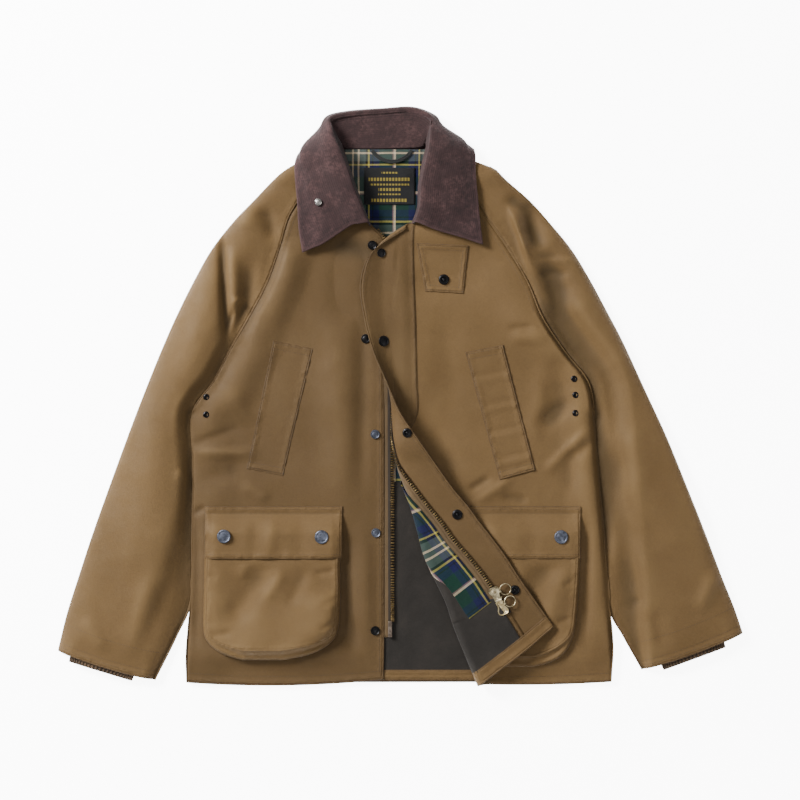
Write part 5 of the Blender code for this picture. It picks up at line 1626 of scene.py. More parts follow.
# ---- pockets and tab -------------------------------------------------------------------
@dataclass
class Patch:
    """A flat patch sewn on the front between four corners."""

    name: str
    corners: tuple
    welts: tuple[float, ...] = ()
    under: str = "front_left"
    bands: tuple[float, ...] = ()
    stand: float = 1.3
    finish: str = "waxed_khaki"

    @property
    def points(self) -> tuple[Grid, ...]:
        """The corners as plan points, from the upper one at the side, round the patch."""
        return tuple(np.array(p, float) for p in self.corners)

    def level(self, share: float) -> Grid:
        """The line across the patch at a share of its length."""
        a, b, c, d = self.points
        return np.array((a * (1 - share) + d * share, b * (1 - share) + c * share))

    def height(self, plan: Grid) -> Grid:
        """Height of the patch's face at plan points, with its rolled edge and welt seams."""
        away = distance(plan, (*self.points, self.points[0]))
        height = cloth_top(plan) + EASE + self.stand - rolled(away, 0.6, 2.0)
        height += PUCKER.lift(plan) * np.exp(-(away / 7.0) ** 2)
        for share in self.welts:
            height -= 0.7 * np.exp(-(distance(plan, self.level(share)) / 1.6) ** 2)
        for share in self.bands:
            for shift, depth in ((-0.02, -0.5), (0.025, 0.6)):
                fall = np.exp(-(distance(plan, self.level(share - shift)) / 4.5) ** 2)
                height -= depth * fall * ease(away, 0, 5)
        return height

    def build(self) -> None:
        """Make the patch, following the creases of the front under it."""
        a, b, c, d = self.points
        down = shares(float(np.linalg.norm(d - a)), 3.0)[:, None]
        left, right = a + (d - a) * down, b + (c - b) * down
        plan = row_points(left, right, shares(float(np.linalg.norm(b - a)), 3.0))
        Sheet(self.name, with_height(plan, self.height(plan)), CLOTH, self.finish,
              (self.name,), edge=boundary_distance(plan), rests_on=(self.under,)).build()


@dataclass
class BellowsPocket:
    """A bellows pocket: the bag with its gusset, and the flap over its mouth."""

    side: str
    rows: tuple
    front: str
    gusset_below: float = 15.0
    gusset_side: float = 4.0
    sag: float = 0.0            # how much fuller the bag is towards its bottom
    creases: tuple[Crease, ...] = ()

    def pinch(self, plan: Grid) -> Grid:
        """Distance of the gusset's pinched ridge from the bag's edge."""
        return self.gusset_side + (self.gusset_below - self.gusset_side) * ease(
            -plan[..., 1], *BAG_FOOT)

    def pressed(self, plan: Grid) -> Grid:
        """Share of the pocket's fullness that is left under the turned-back front."""
        if self.side == "right":
            return np.ones(plan.shape[:-1])
        edge = np.array([row[:2] for row in STORM_FLAP[9:]], float)
        beyond = plan[..., 0] - np.interp(-plan[..., 1], -edge[:, 1], edge[:, 0])
        return 0.3 + (LEFT_BAG_FULL - 0.3) * ease(beyond, -10.0, 14.0)

    def outline(self, at: Grid) -> tuple[Grid, Grid]:
        """Plan points of the bag's two ends at fractional rows of its table."""
        fine = spline(self.rows, at)
        return fine[:, [1, 0]], fine[:, [2, 0]]

    def bag_height(self, plan: Grid) -> Grid:
        """Height of the bag's face above its seam, with the pinched edge of its gusset."""
        side, front = self.outline(np.arange(0, len(self.rows) - 0.99, 0.2))
        away = distance(plan, np.concatenate([side, front[::-1]]))
        low = ease(-plan[..., 1], *BAG_FOOT)
        pinch = self.pinch(plan)
        share = np.minimum(away / BAG_EDGE, 1.0)
        rise = BAG_RISE * np.sqrt(np.maximum(1 - (1 - share) ** 2, 0.0))
        rise = rise * (0.2 + 0.8 * ease(-plan[..., 1], 174.0, 196.0)) * self.pressed(plan)
        ridge = (0.8 + 0.7 * low) * np.exp(-((away - pinch) / 1.2) ** 2)
        hollow = 1.7 * low * np.exp(-((away - pinch * 0.55) / 3.5) ** 2)
        return rise + ridge - hollow

    def bag(self) -> None:
        """Make the bag."""
        at = stations(np.asarray(self.rows, float)[:, [1, 0]], 3.0)
        plan = row_points(*self.outline(at), shares(188.0, 3.0))
        away = boundary_distance(plan, "wes")
        full = self.sag * ease(-plan[..., 1], 232.0, 325.0)
        lift = Ripple(31, 110.0, 35.0, 0.45).lift(plan) * ease(away, 3.0, 24.0)
        lift = with_creases(lift, self.creases, plan, ease(away, 2.0, 14.0))
        lift += full * ease(away, 2.0, 22.0)
        lift = lift * ease(-plan[..., 1], 219.0, 236.0)
        lift += PUCKER.lift(plan) * np.exp(-((away - 6) / 6.0) ** 2)
        height = cloth_top(plan) + EASE + LAYER + self.bag_height(plan) + lift
        height -= ease(-away, -2.0, 0.0) * 0.8
        seam = np.abs(away - self.pinch(plan)) + 0.25
        # Painted highlight on the bag's lower half, as strong as its sag.
        Sheet(f"pocket_bag_{self.side}", with_height(plan, height), CLOTH, "waxed_khaki",
              (f"pocket_bag_{self.side}",), edge=np.minimum(away, seam), low=-0.8 * full,
              rests_on=(self.front,)).build()

    def flap_ends(self) -> tuple[Grid, Grid]:
        """Plan points of the flap's two ends, from its seam down."""
        table = np.asarray(POCKET_FLAP, float)
        fine = spline(table, stations(np.column_stack([table[:, 0], 0 * table[:, 0]]), 2.2))
        x1, x2 = self.rows[0][1:]
        sign = 1 if x2 > x1 else -1
        return (np.column_stack([x1 + sign * fine[:, 1], fine[:, 0]]),
                np.column_stack([x2 - sign * fine[:, 1], fine[:, 0]]))

    def flap_line(self, level: float) -> Grid:
        """A row of plan points across the flap at one level."""
        across = np.linspace(*self.rows[0][1:], 40)[1:-1]
        return np.column_stack([across, 0 * across + level])

    def flap_height(self, plan: Grid) -> Grid:
        """Height of the flap's face at plan points."""
        left, right = self.flap_ends()
        x1, x2 = self.rows[0][1:]
        away = distance(plan, np.concatenate([left, right[::-1], left[:1]]))
        share = ease(-plan[..., 1], 153.0, 187.0)
        lift = Ripple(17, 90.0, 30.0, 0.5).lift(plan) * ease(-plan[..., 1], 165.0, 195.0)
        lift += PUCKER.lift(plan) * np.exp(-(away / 7.0) ** 2) * 0.8
        lift = with_creases(lift, (c for c in FLAP_CREASES if c.start[0] * x1 > 0), plan)
        kept = self.pressed(plan)
        height = cloth_top(plan) + EASE + LAYER + FLAP_RISE * share * kept + lift * kept
        ends = np.minimum(np.abs(plan[..., 0] - x1), np.abs(plan[..., 0] - x2))
        height -= 3.0 * (1 - ease(ends, 0.0, 15.0)) * share * kept
        height -= rolled(away, 0.8, 2.6)
        return height - 0.9 * np.exp(-((plan[..., 1] - FLAP_SEAM_Y) / 1.6) ** 2)

    def flap(self) -> None:
        """Make the flap, sewn down along its top."""
        plan = row_points(*self.flap_ends(), shares(188.0, 2.8))
        Sheet(f"pocket_flap_{self.side}", with_height(plan, self.flap_height(plan)), CLOTH,
              "waxed_khaki", (f"pocket_flap_{self.side}",), edge=boundary_distance(plan),
              rests_on=(f"pocket_bag_{self.side}",)).build()

    def build(self) -> None:
        """Make the bag and the flap."""
        self.bag()
        self.flap()


# ---- hard pieces: modelling helpers ----------------------------------------------------
def deselect() -> None:
    """Leave nothing selected, so that an operator acts on its own piece alone."""
    bpy.ops.object.select_all(action="DESELECT")


def edit(obj: bpy.types.Object) -> None:
    """Select one piece alone and enter its edit mode."""
    deselect()
    obj.select_set(True)
    bpy.context.view_layer.objects.active = obj
    bpy.ops.object.mode_set(mode="EDIT")


def leave() -> None:
    """Leave edit mode."""
    bpy.ops.object.mode_set(mode="OBJECT")


def modelled(add: Callable, scale: Sequence[float], bevel: float = 0.0, steps: int = 1,
             **settings: float) -> bpy.types.Mesh:
    """Model a small mesh from a primitive.

    Args:
        add: Operator that adds the primitive.
        scale: How it is scaled along X, Y and Z.
        bevel: Width of a bevel on every edge, in millimetres; none where it is 0.
        steps: Steps across the bevel.
        settings: Settings of the operator.

    Returns:
        The mesh, in metres, about the origin.
    """
    deselect()
    add(**settings)
    obj = bpy.context.active_object
    edit(obj)
    bpy.ops.mesh.select_all(action="SELECT")
    bpy.ops.transform.resize(value=scale)
    if bevel:
        bpy.ops.mesh.bevel(offset=bevel * MM, segments=steps, affect="EDGES")
    leave()
    mesh = obj.data.copy()
    bpy.data.objects.remove(obj)
    return mesh


def turned(name: str, profile: Sequence[tuple[float, float]], steps: int = 40) -> bpy.types.Mesh:
    """Turn a profile round the Z axis with the spin operator.

    Args:
        name: Name of the mesh.
        profile: Radius and height of each point, in millimetres, from below to the top.
        steps: Number of steps round.

    Returns:
        The closed mesh, in metres, about the origin.
    """
    mesh = bpy.data.meshes.new(name)
    mesh.from_pydata([(r * MM, 0.0, h * MM) for r, h in profile],
                     [(k, k + 1) for k in range(len(profile) - 1)], [])
    obj = link(name, mesh)
    edit(obj)
    bpy.ops.mesh.select_all(action="SELECT")
    bpy.ops.mesh.spin(steps=steps, angle=2 * math.pi, center=(0, 0, 0), axis=(0, 0, 1))
    bpy.ops.mesh.select_all(action="SELECT")
    bpy.ops.mesh.remove_doubles(threshold=1e-6)
    bpy.ops.mesh.normals_make_consistent(inside=False)
    leave()
    bpy.ops.object.shade_smooth_by_angle(angle=math.radians(38))
    deselect()
    bpy.data.objects.remove(obj)
    return mesh


def place(name: str, mesh: bpy.types.Mesh, centre: Sequence[float], axis: Sequence[float],
          finish: str, nodes: Iterable[str] = ()) -> None:
    """Copy a modelled mesh to its place, its Z along an axis.

    Args:
        name: Name of the piece.
        mesh: The mesh to copy.
        centre: Where its origin goes, in millimetres.
        axis: Direction of its Z.
        finish: Name of its finish.
        nodes: Solids that it stands for.
    """
    copy = mesh.copy()
    turn = Vector((0, 0, 1)).rotation_difference(Vector(axis)).to_matrix().to_4x4()
    copy.transform(Matrix.Translation(Vector(centre) * MM) @ turn)
    dress(link(name, copy), finish, nodes)


def repeat(name: str, mesh: bpy.types.Mesh, places: Sequence[Matrix],
           finish: str) -> None:
    """Copy one small mesh to many places, joined into one piece."""
    points = np.array([v.co for v in mesh.vertices])
    faces = [tuple(p.vertices) for p in mesh.polygons]
    all_points, all_faces = [], []
    for k, matrix in enumerate(places):
        turn = np.array(matrix)
        all_points.append(points @ turn[:3, :3].T + turn[:3, 3])
        all_faces += [tuple(i + k * len(points) for i in f) for f in faces]
    joined = bpy.data.meshes.new(name)
    joined.from_pydata(np.concatenate(all_points).tolist(), [], all_faces)
    joined.shade_smooth()
    joined.set_sharp_from_angle(angle=math.radians(40))
    dress(link(name, joined), finish)


def basis(origin: Grid, along: Grid, up: Grid) -> Matrix:
    """A matrix that puts X along a direction and Z near up, at an origin in millimetres."""
    x = Vector(along).normalized()
    z = (Vector(up) - x * Vector(up).dot(x)).normalized()
    y = z.cross(x)
    matrix = Matrix((x, y, z)).transposed().to_4x4()
    matrix.translation = Vector(origin) * MM
    return matrix


# ---- stitching -------------------------------------------------------------------------
@dataclass
class Stitching:
    """Every row of stitching: short sunk threads at an even pitch."""

    pitch: float = 3.3
    length: float = 2.5
    radius: float = 0.2
    stand: float = 0.12         # how far the thread stands out
    places: list[Matrix] = field(default_factory=list)

    def thread(self) -> bpy.types.Mesh:
        """Model one stitch: a low ball drawn out, its ends dipping into the cloth."""
        return modelled(bpy.ops.mesh.primitive_uv_sphere_add,
                        (self.length / (2 * self.radius), 1.0, 0.8), segments=6,
                        ring_count=5, radius=self.radius * MM)

    def row(self, line: Grid, height: Height | None = None,
            up: Grid | None = None) -> None:
        """Sew along a line.

        Args:
            line: Plan points, or points in space where height is None.
            height: Rule for the height of the cloth.
            up: Normals at the points of a line in space.
        """
        line = np.asarray(line, float)
        at = stations(line, self.pitch)
        fine = spline(line, at)
        points = with_height(fine, height(fine)) if height else fine
        ahead = np.gradient(points, axis=0)
        normals = (np.broadcast_to((0.0, 0.0, 1.0), points.shape) if up is None
                   else spline(up, at))
        for p, d, n in zip(points, ahead, normals):
            self.places.append(basis(p + n * self.stand, d, n))

    def build(self) -> None:
        """Make all stitches as one piece."""
        repeat("stitching", self.thread(), self.places, "thread")
        LOG.info("stitching: %d stitches", len(self.places))


def inset_line(points: Grid, amount: float) -> Grid:
    """Move a plan line to its left by an amount."""
    points = np.asarray(points, float)
    ahead = unit(np.gradient(points, axis=0))
    return points + np.stack([-ahead[:, 1], ahead[:, 0]], axis=1) * amount


# ---- zip -------------------------------------------------------------------------------
SLIDER_HALF = (
    # along the zip, half width
    (-10.0, 3.0), (-9.2, 5.2), (-7.6, 6.9), (-5.0, 7.5), (-2.6, 7.0), (-0.6, 6.0),
    (1.2, 5.1), (4.0, 4.7), (7.2, 5.0), (9.2, 4.9), (10.0, 3.9),
)


@dataclass
class Zip:
    """The two-way zip: tapes, teeth, foot, sliders and ring pulls."""

    front: TurnedFront
    pitch: float = 3.4
    tooth: tuple[float, float, float] = (1.75, 5.0, 2.4)
    slider_centre: tuple[float, float] = (130.0, -266.5)
    slider_along: tuple[float, float] = (0.41906, -0.90797)
    height: float = 4.0
    ring_radius: float = 7.6
    ring_wire: float = 0.72
    ring_tilt: float = 8.0      # how far a ring hangs down from its eye, in degrees
    eye_radius: float = 1.7
    eye_wire: float = 0.55
    eye_rise: float = 2.2       # height of an eye over the slider's foot
    teeth_rows: tuple[float, float] = (UNDERARM_ROW - 0.2, 17.75)
    tape_rows: tuple[float, float] = (UNDERARM_ROW, 19.0)
    # name, way it faces, place along the zip, and its eye's place along and aside
    eyes: tuple = (("upper", 1, 0.0, -0.5, 7.7), ("lower", -1, 20.6, 17.0, 6.5))

    def tooth_mesh(self) -> bpy.types.Mesh:
        """Model one tooth: a small block with a rounded head."""
        return modelled(bpy.ops.mesh.primitive_cube_add, self.tooth, 0.32, size=MM)

    def teeth(self) -> None:
        """Set teeth along both sides."""
        places = []
        line = [(-30.5, 230.5), (-24.5, 223.5), (-18.0, 214.5), (-12.6, 204.0)]
        line += [(ZIP_X - 0.2, y) for y in (190.0, 20.0, -150.0, -305.0)]
        points = spline(line, stations(line, self.pitch))
        height = top_height(np.column_stack([np.full(len(points), FREE_X), points[:, 1]]))
        for p, d, z in zip(points, np.gradient(points, axis=0), height):
            places.append(basis((*p, z - 0.7 + 0.4 * ease(p[1], 200, 215)), (*d, 0), (0, 0, 1)))
        index = self.front.even_rows(*self.teeth_rows, self.pitch)
        both = self.front.points(index, np.tile((0.1, 2.1), (len(index), 1)), 1.7)
        ahead = np.gradient(both[:, 0], axis=0)
        inwards = both[:, 1] - both[:, 0]
        for p, d, w in zip(both[:, 0], ahead, inwards):
            up = Vector(d).cross(Vector(w)).normalized()
            up = up if up.z > -0.2 else -up
            places.append(basis(p, d, up))
        repeat("zip_teeth", self.tooth_mesh(), places, "teeth_brass")
        LOG.info("zip_teeth: %d teeth", len(places))

    def tapes(self) -> None:
        """Make the two tapes."""
        near = [(-42, 231), (-33.5, 222), (-25, 210), (-25.7, 195), (-25.7, -327)]
        far = [(-31, 231.5), (-25, 224), (-18.4, 215), (-13.4, 204), (-12.0, -327)]
        at = stations(far, 3.0)
        ends = [np.column_stack([np.interp(at, np.arange(5), np.array(line, float)[:, k])
                                 for k in (0, 1)]) for line in (near, far)]
        plan = row_points(*ends, np.linspace(0, 1, 12))
        beside = np.stack([np.minimum(plan[..., 0], FREE_X), plan[..., 1]], axis=2)
        level = top_height(beside) - 1.4
        Sheet("zip_tape_right", with_height(plan, level), THIN, "zip_tape",
              ("zip_tape_right",), plan * MM, distance(plan, plan[:, -1]),
              rests_on=("front_right",)).build()
        index = self.front.even_rows(*self.tape_rows)
        back = np.tile(np.linspace(-1.8, 11.5, 14), (len(index), 1))
        rise = LAYER + 0.35 - 1.1 * (1 - ease(back, 4.5, 7.0))
        face = self.front.points(index, back, rise)
        run = run_along(face[:, 0], 0)
        Sheet("zip_tape_left", face, THIN, "zip_tape", ("zip_tape_left",),
              cloth_uv(back, run[:, None]), back + 1.8, up_at=(len(index) - 2, 2),
              rests_on=("front_left",)).build()

    def foot(self) -> None:
        """Model the retaining box at the foot of the right side's teeth."""
        top = float(top_height(np.array([FREE_X, -315.0]))) - 0.9
        mesh = modelled(bpy.ops.mesh.primitive_cube_add, (5.6, 22.0, 1.9), 0.7, 3, size=MM)
        place("zip_foot", mesh, (ZIP_X - 3.6, -316.0, top + GAP + 1.3), (0, 0, 1),
              "dull_steel", ("zip_stop",))

    def sliders(self) -> None:
        """Model both sliders, their eyes and their ring pulls."""
        along = Vector((*self.slider_along, 0.0))
        side = Vector((-along.y, along.x, 0.0))
        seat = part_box("slider_upper")[0][2] / MM
        centre = Vector((*self.slider_centre, 0.0))
        tilt = math.radians(self.ring_tilt)
        out = side * math.cos(tilt) - Vector((0, 0, 1)) * math.sin(tilt)
        for name, sign, offset, eye_at, eye_side in self.eyes:
            body = self.slider_mesh()
            body.transform(basis(centre + along * offset + Vector((0, 0, seat)),
                                 along * sign, (0, 0, 1)))
            eye = centre + along * eye_at + side * eye_side + Vector((0, 0, seat + self.eye_rise))
            dress(link(f"zip_slider_{name}", body),
                  "worn_brass" if name == "upper" else "bright_brass", (f"slider_{name}",))
            self.ring(f"slider_eye_{name}", eye, along, Vector((0, 0, 1)), self.eye_radius,
                      self.eye_wire)
            self.ring(f"ring_pull_{name}", eye + out * self.ring_radius, along.cross(out), out,
                      self.ring_radius, self.ring_wire, (f"pull_ring_{name}",),
                      f"ring_{name}")

    def slider_mesh(self) -> bpy.types.Mesh:
        """Model a slider from its outline: wide shoulders, narrow tail, a ridge on top."""
        outline = SLIDER_HALF + tuple((a, -b) for a, b in SLIDER_HALF[::-1])
        mesh = bpy.data.meshes.new("slider")
        mesh.from_pydata([(a * MM, b * MM, 0.0) for a, b in outline], [],
                         [tuple(range(len(outline)))])
        obj = link("slider", mesh)
        edit(obj)
        bpy.ops.mesh.select_mode(type="FACE")
        bpy.ops.mesh.select_all(action="SELECT")
        bpy.ops.mesh.extrude_region_move(
            TRANSFORM_OT_translate={"value": (0, 0, self.height * 0.45 * MM)})
        for width, rise in ((0.7, 0.5), (1.4, 0.7), (0.9, -0.25), (0.5, 0.55)):
            bpy.ops.mesh.inset(thickness=width * MM, depth=rise * MM)
        bpy.ops.mesh.select_all(action="SELECT")
        bpy.ops.mesh.normals_make_consistent(inside=False)
        leave()
        bevel = obj.modifiers.new("edges", "BEVEL")
        bevel.width, bevel.segments, bevel.limit_method = 0.22 * MM, 2, "ANGLE"
        bpy.ops.object.modifier_apply(modifier=bevel.name)
        bpy.ops.object.shade_smooth_by_angle(angle=math.radians(35))
        made = obj.data.copy()
        bpy.data.objects.remove(obj)
        return made

    def ring(self, name: str, centre: Vector, axis: Vector, towards: Vector, major: float,
             minor: float, nodes: tuple[str, ...] = (), body: str = "garment") -> None:
        """Model a wire ring, a little flattened where it was closed."""
        mesh = modelled(bpy.ops.mesh.primitive_torus_add, (1.0, 0.97, 1.0), major_segments=56,
                        minor_segments=12, major_radius=major * MM, minor_radius=minor * MM)
        mesh.transform(basis(centre, towards, axis))
        mesh.shade_smooth()
        dress(link(name, mesh), "worn_brass", nodes, body)

    def build(self) -> None:
        """Make the whole zip."""
        self.tapes()
        self.teeth()
        self.foot()
        self.sliders()


# ---- snaps, studs and eyelets ----------------------------------------------------------
PROFILES = {
    # radius and height as shares, from the middle of the foot to the middle of the top
    "cap": ((0.0, 0.0), (0.97, 0.0), (1.0, 0.3), (0.99, 0.6), (0.93, 0.86), (0.85, 0.92),
            (0.78, 0.78), (0.72, 0.64), (0.66, 0.66), (0.55, 0.8), (0.4, 0.92), (0.2, 0.99),
            (0.0, 1.0)),
    "socket": ((0.0, 0.0), (0.97, 0.0), (1.0, 0.35), (0.9, 0.8), (0.72, 1.0), (0.56, 0.9),
               (0.48, 0.45), (0.45, 0.2), (0.3, 0.2), (0.24, 0.5), (0.14, 0.62),
               (0.0, 0.64)),
}


@dataclass
class Fasteners:
    """Studs, snaps, eyelets and the collar stud."""

    front: TurnedFront
    studs: tuple = (("stud_1", -38, 210, "black_steel"), ("stud_2", -47, 82, "black_steel"),
                    ("stud_3", -34, -49, "blued_steel"), ("stud_4", -33, -184, "blued_steel"),
                    ("stud_5", -34, -318, "black_steel"))
    pocket_snaps: tuple = (("pocket_snap_1", -240, -188, 1.0),
                           ("pocket_snap_2", -107, -189, 1.0),
                           ("pocket_snap_3", 220, -189, LEFT_BAG_FULL))
    flap_snaps: tuple = (("flap_snap_1", -26.2, 199.6, 6.0, "cap"),
                         ("flap_snap_2", -22.6, 79.7, 7.4, "cap"),
                         ("flap_snap_3", 9.5, -47.2, 6.5, "socket"),
                         ("flap_snap_4", 78.3, -158.3, 7.0, "socket"),
                         ("flap_snap_5", 157.0, -261.5, 6.5, "socket"))
    eyelets: tuple = (("eyelet_right_1", -265, 2), ("eyelet_right_2", -265, -22),
                      ("eyelet_left_1", 238, 27), ("eyelet_left_2", 240, 5),
                      ("eyelet_left_3", 240, -20))

    def snap(self, kind: str, radius: float, height: float) -> bpy.types.Mesh:
        """Turn a cap (rolled rim, low dome) or a socket (raised ring, deep hole)."""
        return turned(kind, [(r * radius, h * height) for r, h in PROFILES[kind]])

    def normal_at(self, x: float, y: float, rule: Height) -> Vector:
        """Normal of a surface that a height rule gives."""
        step = 4.0
        z = rule(np.array([[x - step, y], [x + step, y], [x, y - step], [x, y + step]], float))
        return Vector((-(z[1] - z[0]) / (2 * step), -(z[3] - z[2]) / (2 * step), 1)).normalized()

    def build(self) -> None:
        """Model each kind once and copy it to its places."""
        stud = self.snap("cap", 6.3, 2.2)
        for name, x, y, finish in self.studs:
            place(f"snap_{name}", stud, (x, y, top_at(x, y) - 0.1),
                  self.normal_at(x, y, cloth_top), finish, (name,))
        snap = self.snap("cap", 9.4, 2.4)
        for name, x, y, full in self.pocket_snaps:
            z = top_at(x, y) + EASE + LAYER + FLAP_RISE * full
            place(f"cap_{name}", snap, (x, y, z), (0, 0, 1), "blued_steel", (name,))
        place("cap_tab_snap", self.snap("socket", 7.2, 2.4),
              (60, 163, top_at(60, 163) + EASE + 1.0), (0, 0, 1), "black_steel",
              ("tab_snap",))
        index, share = np.arange(FLAP_TOP_ROW, 20.0, 0.05), np.arange(0.0, 0.97, 0.02)
        spread = self.front.flap_point(index, share)[..., :2]
        for name, x, y, radius, kind in self.flap_snaps:
            away = np.linalg.norm(spread - (x, y), axis=2)
            row, column = np.unravel_index(away.argmin(), away.shape)
            grid = self.front.flap_point(index[row] + np.array([0.0, 0.04]),
                                         share[column] + np.array([0.0, 0.04]))
            axis = Vector(grid[0, 1] - grid[0, 0]).cross(Vector(grid[1, 0] - grid[0, 0]))
            axis = axis.normalized() if axis.z > 0 else -axis.normalized()
            at = Vector(grid[0, 0]) + axis * (CLOTH / 2 - 0.1)
            place(f"cap_{name}", self.snap(kind, radius, 2.2), at, axis, "black_steel",
                  (name,))
        eyelet = turned("eyelet", ((0.0, 0.0), (4.4, 0.0), (4.5, 0.2), (3.8, 1.1), (2.9, 1.4),
                                   (2.3, 0.9), (2.1, 0.3), (0.0, 0.25)), 32)
        for name, x, y in self.eyelets:
            place(f"ring_{name}", eyelet, (x, y, top_at(x, y) - 0.05), (0, 0, 1),
                  "black_steel", (name,))
        middle = np.mean(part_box("collar_stud"), axis=0) / MM
        place("cap_collar_stud", self.snap("cap", 4.9, 2.2), middle - (0, 0, 0.6),
              (-0.1, 0.05, 1.0), "silver_steel", ("collar_stud",))
        LOG.info("fasteners made")


# ---- label, loop and seams -------------------------------------------------------------
@dataclass
class NeckTrim:
    """The woven label and the hanger loop inside the neck."""

    level: float = 3.4
    label_ends: tuple[float, float] = (-49.0, 20.0)
    label_top: float = 316.0
    label_foot: float = 266.0

    def label(self) -> None:
        """Make the label, a little wavy between its stitches."""
        across, down = np.meshgrid(np.linspace(*self.label_ends, 40),
                                   np.linspace(self.label_top, self.label_foot, 32))
        plan = np.stack([across, down], axis=2)
        away = boundary_distance(plan)
        lift = Ripple(12, 70.0, 25.0, 0.4).lift(plan) * ease(away, 0.0, 14.0)
        height = self.level + THIN + neck_lift(down) + np.maximum(lift, -0.1)
        Sheet("neck_label", with_height(plan, height), THIN, "woven_label", ("neck_label",),
              cloth_uv(across - sum(self.label_ends) / 2, self.label_top - down), away,
              rests_on=("yoke_lining",)).build()

    def loop(self) -> None:
        """Make the hanger loop: a strap that hangs slack between its two bar tacks."""
        run = np.linspace(0, 1, 60)
        middle = np.column_stack([-38 + 54 * run, 340 - 15.5 * arch(run) ** 0.8])
        across = unit(np.gradient(middle, axis=0))[:, ::-1] * (-1, 1)
        aside = np.linspace(-2.3, 2.3, 8)
        plan = middle[:, None] + across[:, None] * aside[None, :, None]
        rise = 0.9 + 1.6 * np.sin(np.pi * run)[:, None]
        height = self.level + neck_lift(plan[..., 1]) + rise
        Sheet("hanger_loop", with_height(plan, height), 0.9, "hanger_web", ("hanger_loop",),
              cloth_uv(aside, run[:, None] * 62), up_at=(30, 3),
              rests_on=("yoke_lining",)).build()

    def build(self) -> None:
        """Make both."""
        self.label()
        self.loop()


@dataclass
class Seams:
    """All rows of stitching that show on the jacket."""

    front: TurnedFront
    thread: Stitching = field(default_factory=Stitching)
    edge_row: float = 6.0

    def fronts(self) -> None:
        """Sew the free edge, the hems and the side of each armhole."""
        free = [(FREE_X - self.edge_row, y) for y in (205, 0, -200, -372)]
        self.thread.row(free, cloth_top)
        across = np.linspace(0, 1, 40)
        for left, right, bow in (((-287, -376), (-26, -373), HEM_BOW),
                                 ((285, -376), (112, -381), HEM_BOW_LEFT)):
            line = np.array(left) + (np.array(right) - left) * across[:, None]
            line[:, 1] -= bow * arch(across)
            self.thread.row(line, cloth_top)
        for side, armhole in ARMHOLE.items():
            line = inset_line(armhole[armhole[:, 1] > 90][::3], -6.5 * side)
            self.thread.row(line, cloth_top)

    def pockets(self, pockets: Sequence[BellowsPocket], patches: Sequence[Patch]) -> None:
        """Sew round the hand-warmers and the tab, and across the flaps."""
        for patch in patches:
            middle = sum(patch.points) / 4
            for inset in (2.2, self.edge_row + 1.6):
                ring = [p + unit(middle - p) * inset * 1.4 for p in patch.points]
                for p, q in zip(ring, ring[1:] + ring[:1]):
                    line = p + (q - p) * np.linspace(0, 1, 20)[:, None]
                    self.thread.row(line, patch.height)
        for pocket in pockets:
            for level in (FLAP_SEAM_Y, FLAP_SEAM_Y + self.edge_row, FLAP_HEM_Y):
                self.thread.row(pocket.flap_line(level), pocket.flap_height)

    def flap(self) -> None:
        """Sew the storm flap's seam and the channel along its free edge."""
        index = self.front.even_rows(FLAP_TOP_ROW, len(FRONT_LEFT) - 1.0, 3.0)
        free = self.front.flap_point(index, np.array([0.0, 0.90, 0.905]))
        normal = unit(np.cross(free[:, 2] - free[:, 1], np.gradient(free[:, 1], axis=0)))
        shows = np.where(index > FOLDED_ROW - 2, normal[:, 2], normal @ (-1.0, 0.0, 0.3))
        up = normal * np.sign(shows)[:, None]
        self.thread.row(free[:, 1] + up * CLOTH / 2, up=up)
        above = index < UNDERARM_ROW
        sewn = self.front.points(index, self.front.flap_seam(index) - 3.0,
                                 -EASE - GAP - LAYER / 2 - CLOTH / 2)[:, 0]
        self.thread.row(sewn[above], up=np.tile((0.0, 0.0, 1.0), (above.sum(), 1)))

    def cuffs(self, sleeves: Sequence[Sleeve]) -> None:
        """Sew three rows round each sleeve's mouth."""
        across = np.linspace(0, 1, 30)
        for sleeve in sleeves:
            outer, inner = (np.array(sleeve.table[-1][k:k + 2], float) for k in (0, 2))
            over = unit(inner - outer)
            up = np.array((-over[1], over[0])) * np.sign(over[0])
            for inset in (6.0, 12.0, 38.0):
                start = outer + over * 4 + up * inset
                line = start + (inner - outer - over * 8) * across[:, None]
                line[:, 1] -= sleeve.mouth_bow * arch(across) * 0.9
                self.thread.row(line, sleeve_top)

    def build(self, pockets: Sequence[BellowsPocket], patches: Sequence[Patch],
              sleeves: Sequence[Sleeve]) -> None:
        """Sew everything."""
        self.fronts()
        self.pockets(pockets, patches)
        self.flap()
        self.cuffs(sleeves)
        self.thread.build()


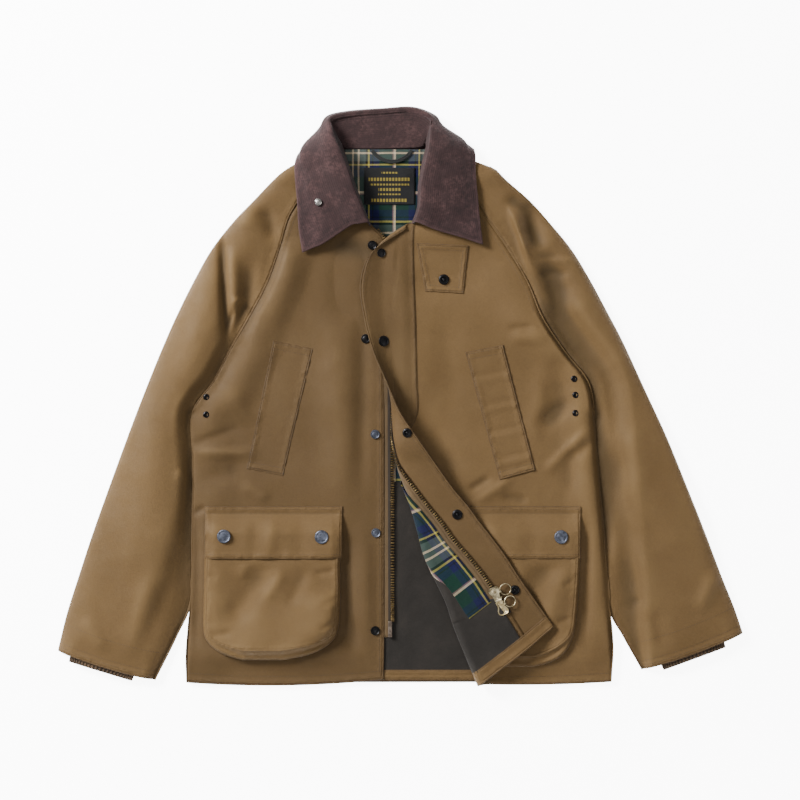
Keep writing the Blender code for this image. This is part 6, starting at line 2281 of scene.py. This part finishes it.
# ---- studio ----------------------------------------------------------------------------
@dataclass
class Studio:
    """A pale floor, soft light from the upper left, and a camera straight above."""

    camera_height: float = 3.05
    lens: float = 100.0
    shift_y: float = -0.002
    sky: float = 0.78
    floor_half: float = 6.0
    floor_z: float = -0.0004

    def light(self, name: str, place_at: tuple[float, float, float], size: float,
              power: float) -> None:
        """Hang one soft square lamp that looks at the jacket."""
        lamp = bpy.data.lights.new(name, "AREA")
        lamp.shape, lamp.size, lamp.energy = "SQUARE", size, power
        obj = link(name, lamp)
        obj.location = place_at
        obj.rotation_euler = (-Vector(place_at)).to_track_quat("-Z", "Y").to_euler()

    def build(self) -> None:
        """Lay the floor, hang the lamps and set the camera."""
        mesh = bpy.data.meshes.new("floor")
        corners = ((-1, -1), (1, -1), (1, 1), (-1, 1))
        mesh.from_pydata([(x * self.floor_half, y * self.floor_half, self.floor_z)
                          for x, y in corners], [], [(0, 1, 2, 3)])
        mesh.materials.append(material("floor"))
        link("floor", mesh)
        self.light("key_lamp", (-2.8, 1.8, 1.75), 1.1, 690.0)
        self.light("fill_lamp", (1.6, -1.6, 3.4), 2.4, 75.0)
        world = bpy.data.worlds.new("studio")
        world.use_nodes = True
        background = world.node_tree.nodes["Background"]
        background.inputs[0].default_value = (1.0, 1.0, 1.0, 1.0)
        background.inputs[1].default_value = self.sky
        bpy.context.scene.world = world
        data = bpy.data.cameras.new("camera")
        data.lens, data.sensor_width = self.lens, 36.0
        camera = link("camera", data)
        camera.location = (0.0, self.shift_y, self.camera_height)
        bpy.context.scene.camera = camera


# ---- making the jacket -----------------------------------------------------------------
def main() -> None:
    """Build every sub-assembly in order and report each one."""
    logging.basicConfig(level=logging.INFO, format="%(message)s", stream=sys.stdout)
    Studio().build()
    Body().build()
    LOG.info("body made")
    front = TurnedFront()
    front.build()
    LOG.info("turned front made")
    sleeves = (Sleeve("right", SLEEVE_RIGHT, -1, -4.0),
               Sleeve("left", SLEEVE_LEFT, 1, 2.0, beside=4.6, shades=LEFT_SLEEVE_SHADES))
    for sleeve in sleeves:
        sleeve.build()
    LOG.info("sleeves made")
    Collar().build()
    NeckTrim().build()
    LOG.info("collar and neck made")
    patches = [Patch("handwarmer_right", HAND_WARMERS["handwarmer_right"], (0.93,),
                     "front_right", stand=0.35, finish="waxed_shaded"),
               Patch("handwarmer_left", HAND_WARMERS["handwarmer_left"], (0.93,),
                     bands=(0.22, 0.45, 0.66, 0.87)),
               Patch("throat_tab", THROAT_TAB, stand=1.0)]
    for patch in patches:
        patch.build()
    pockets = (BellowsPocket("right", BAG_RIGHT, "front_right", sag=3.4,
                             creases=RIGHT_BAG_CREASES),
               BellowsPocket("left", BAG_LEFT, "front_left", creases=LEFT_BAG_CREASES))
    for pocket in pockets:
        pocket.build()
    LOG.info("pockets made")
    Zip(front).build()
    Fasteners(front).build()
    Seams(front).build(pockets, patches, sleeves)


if __name__ == "__main__":
    main()
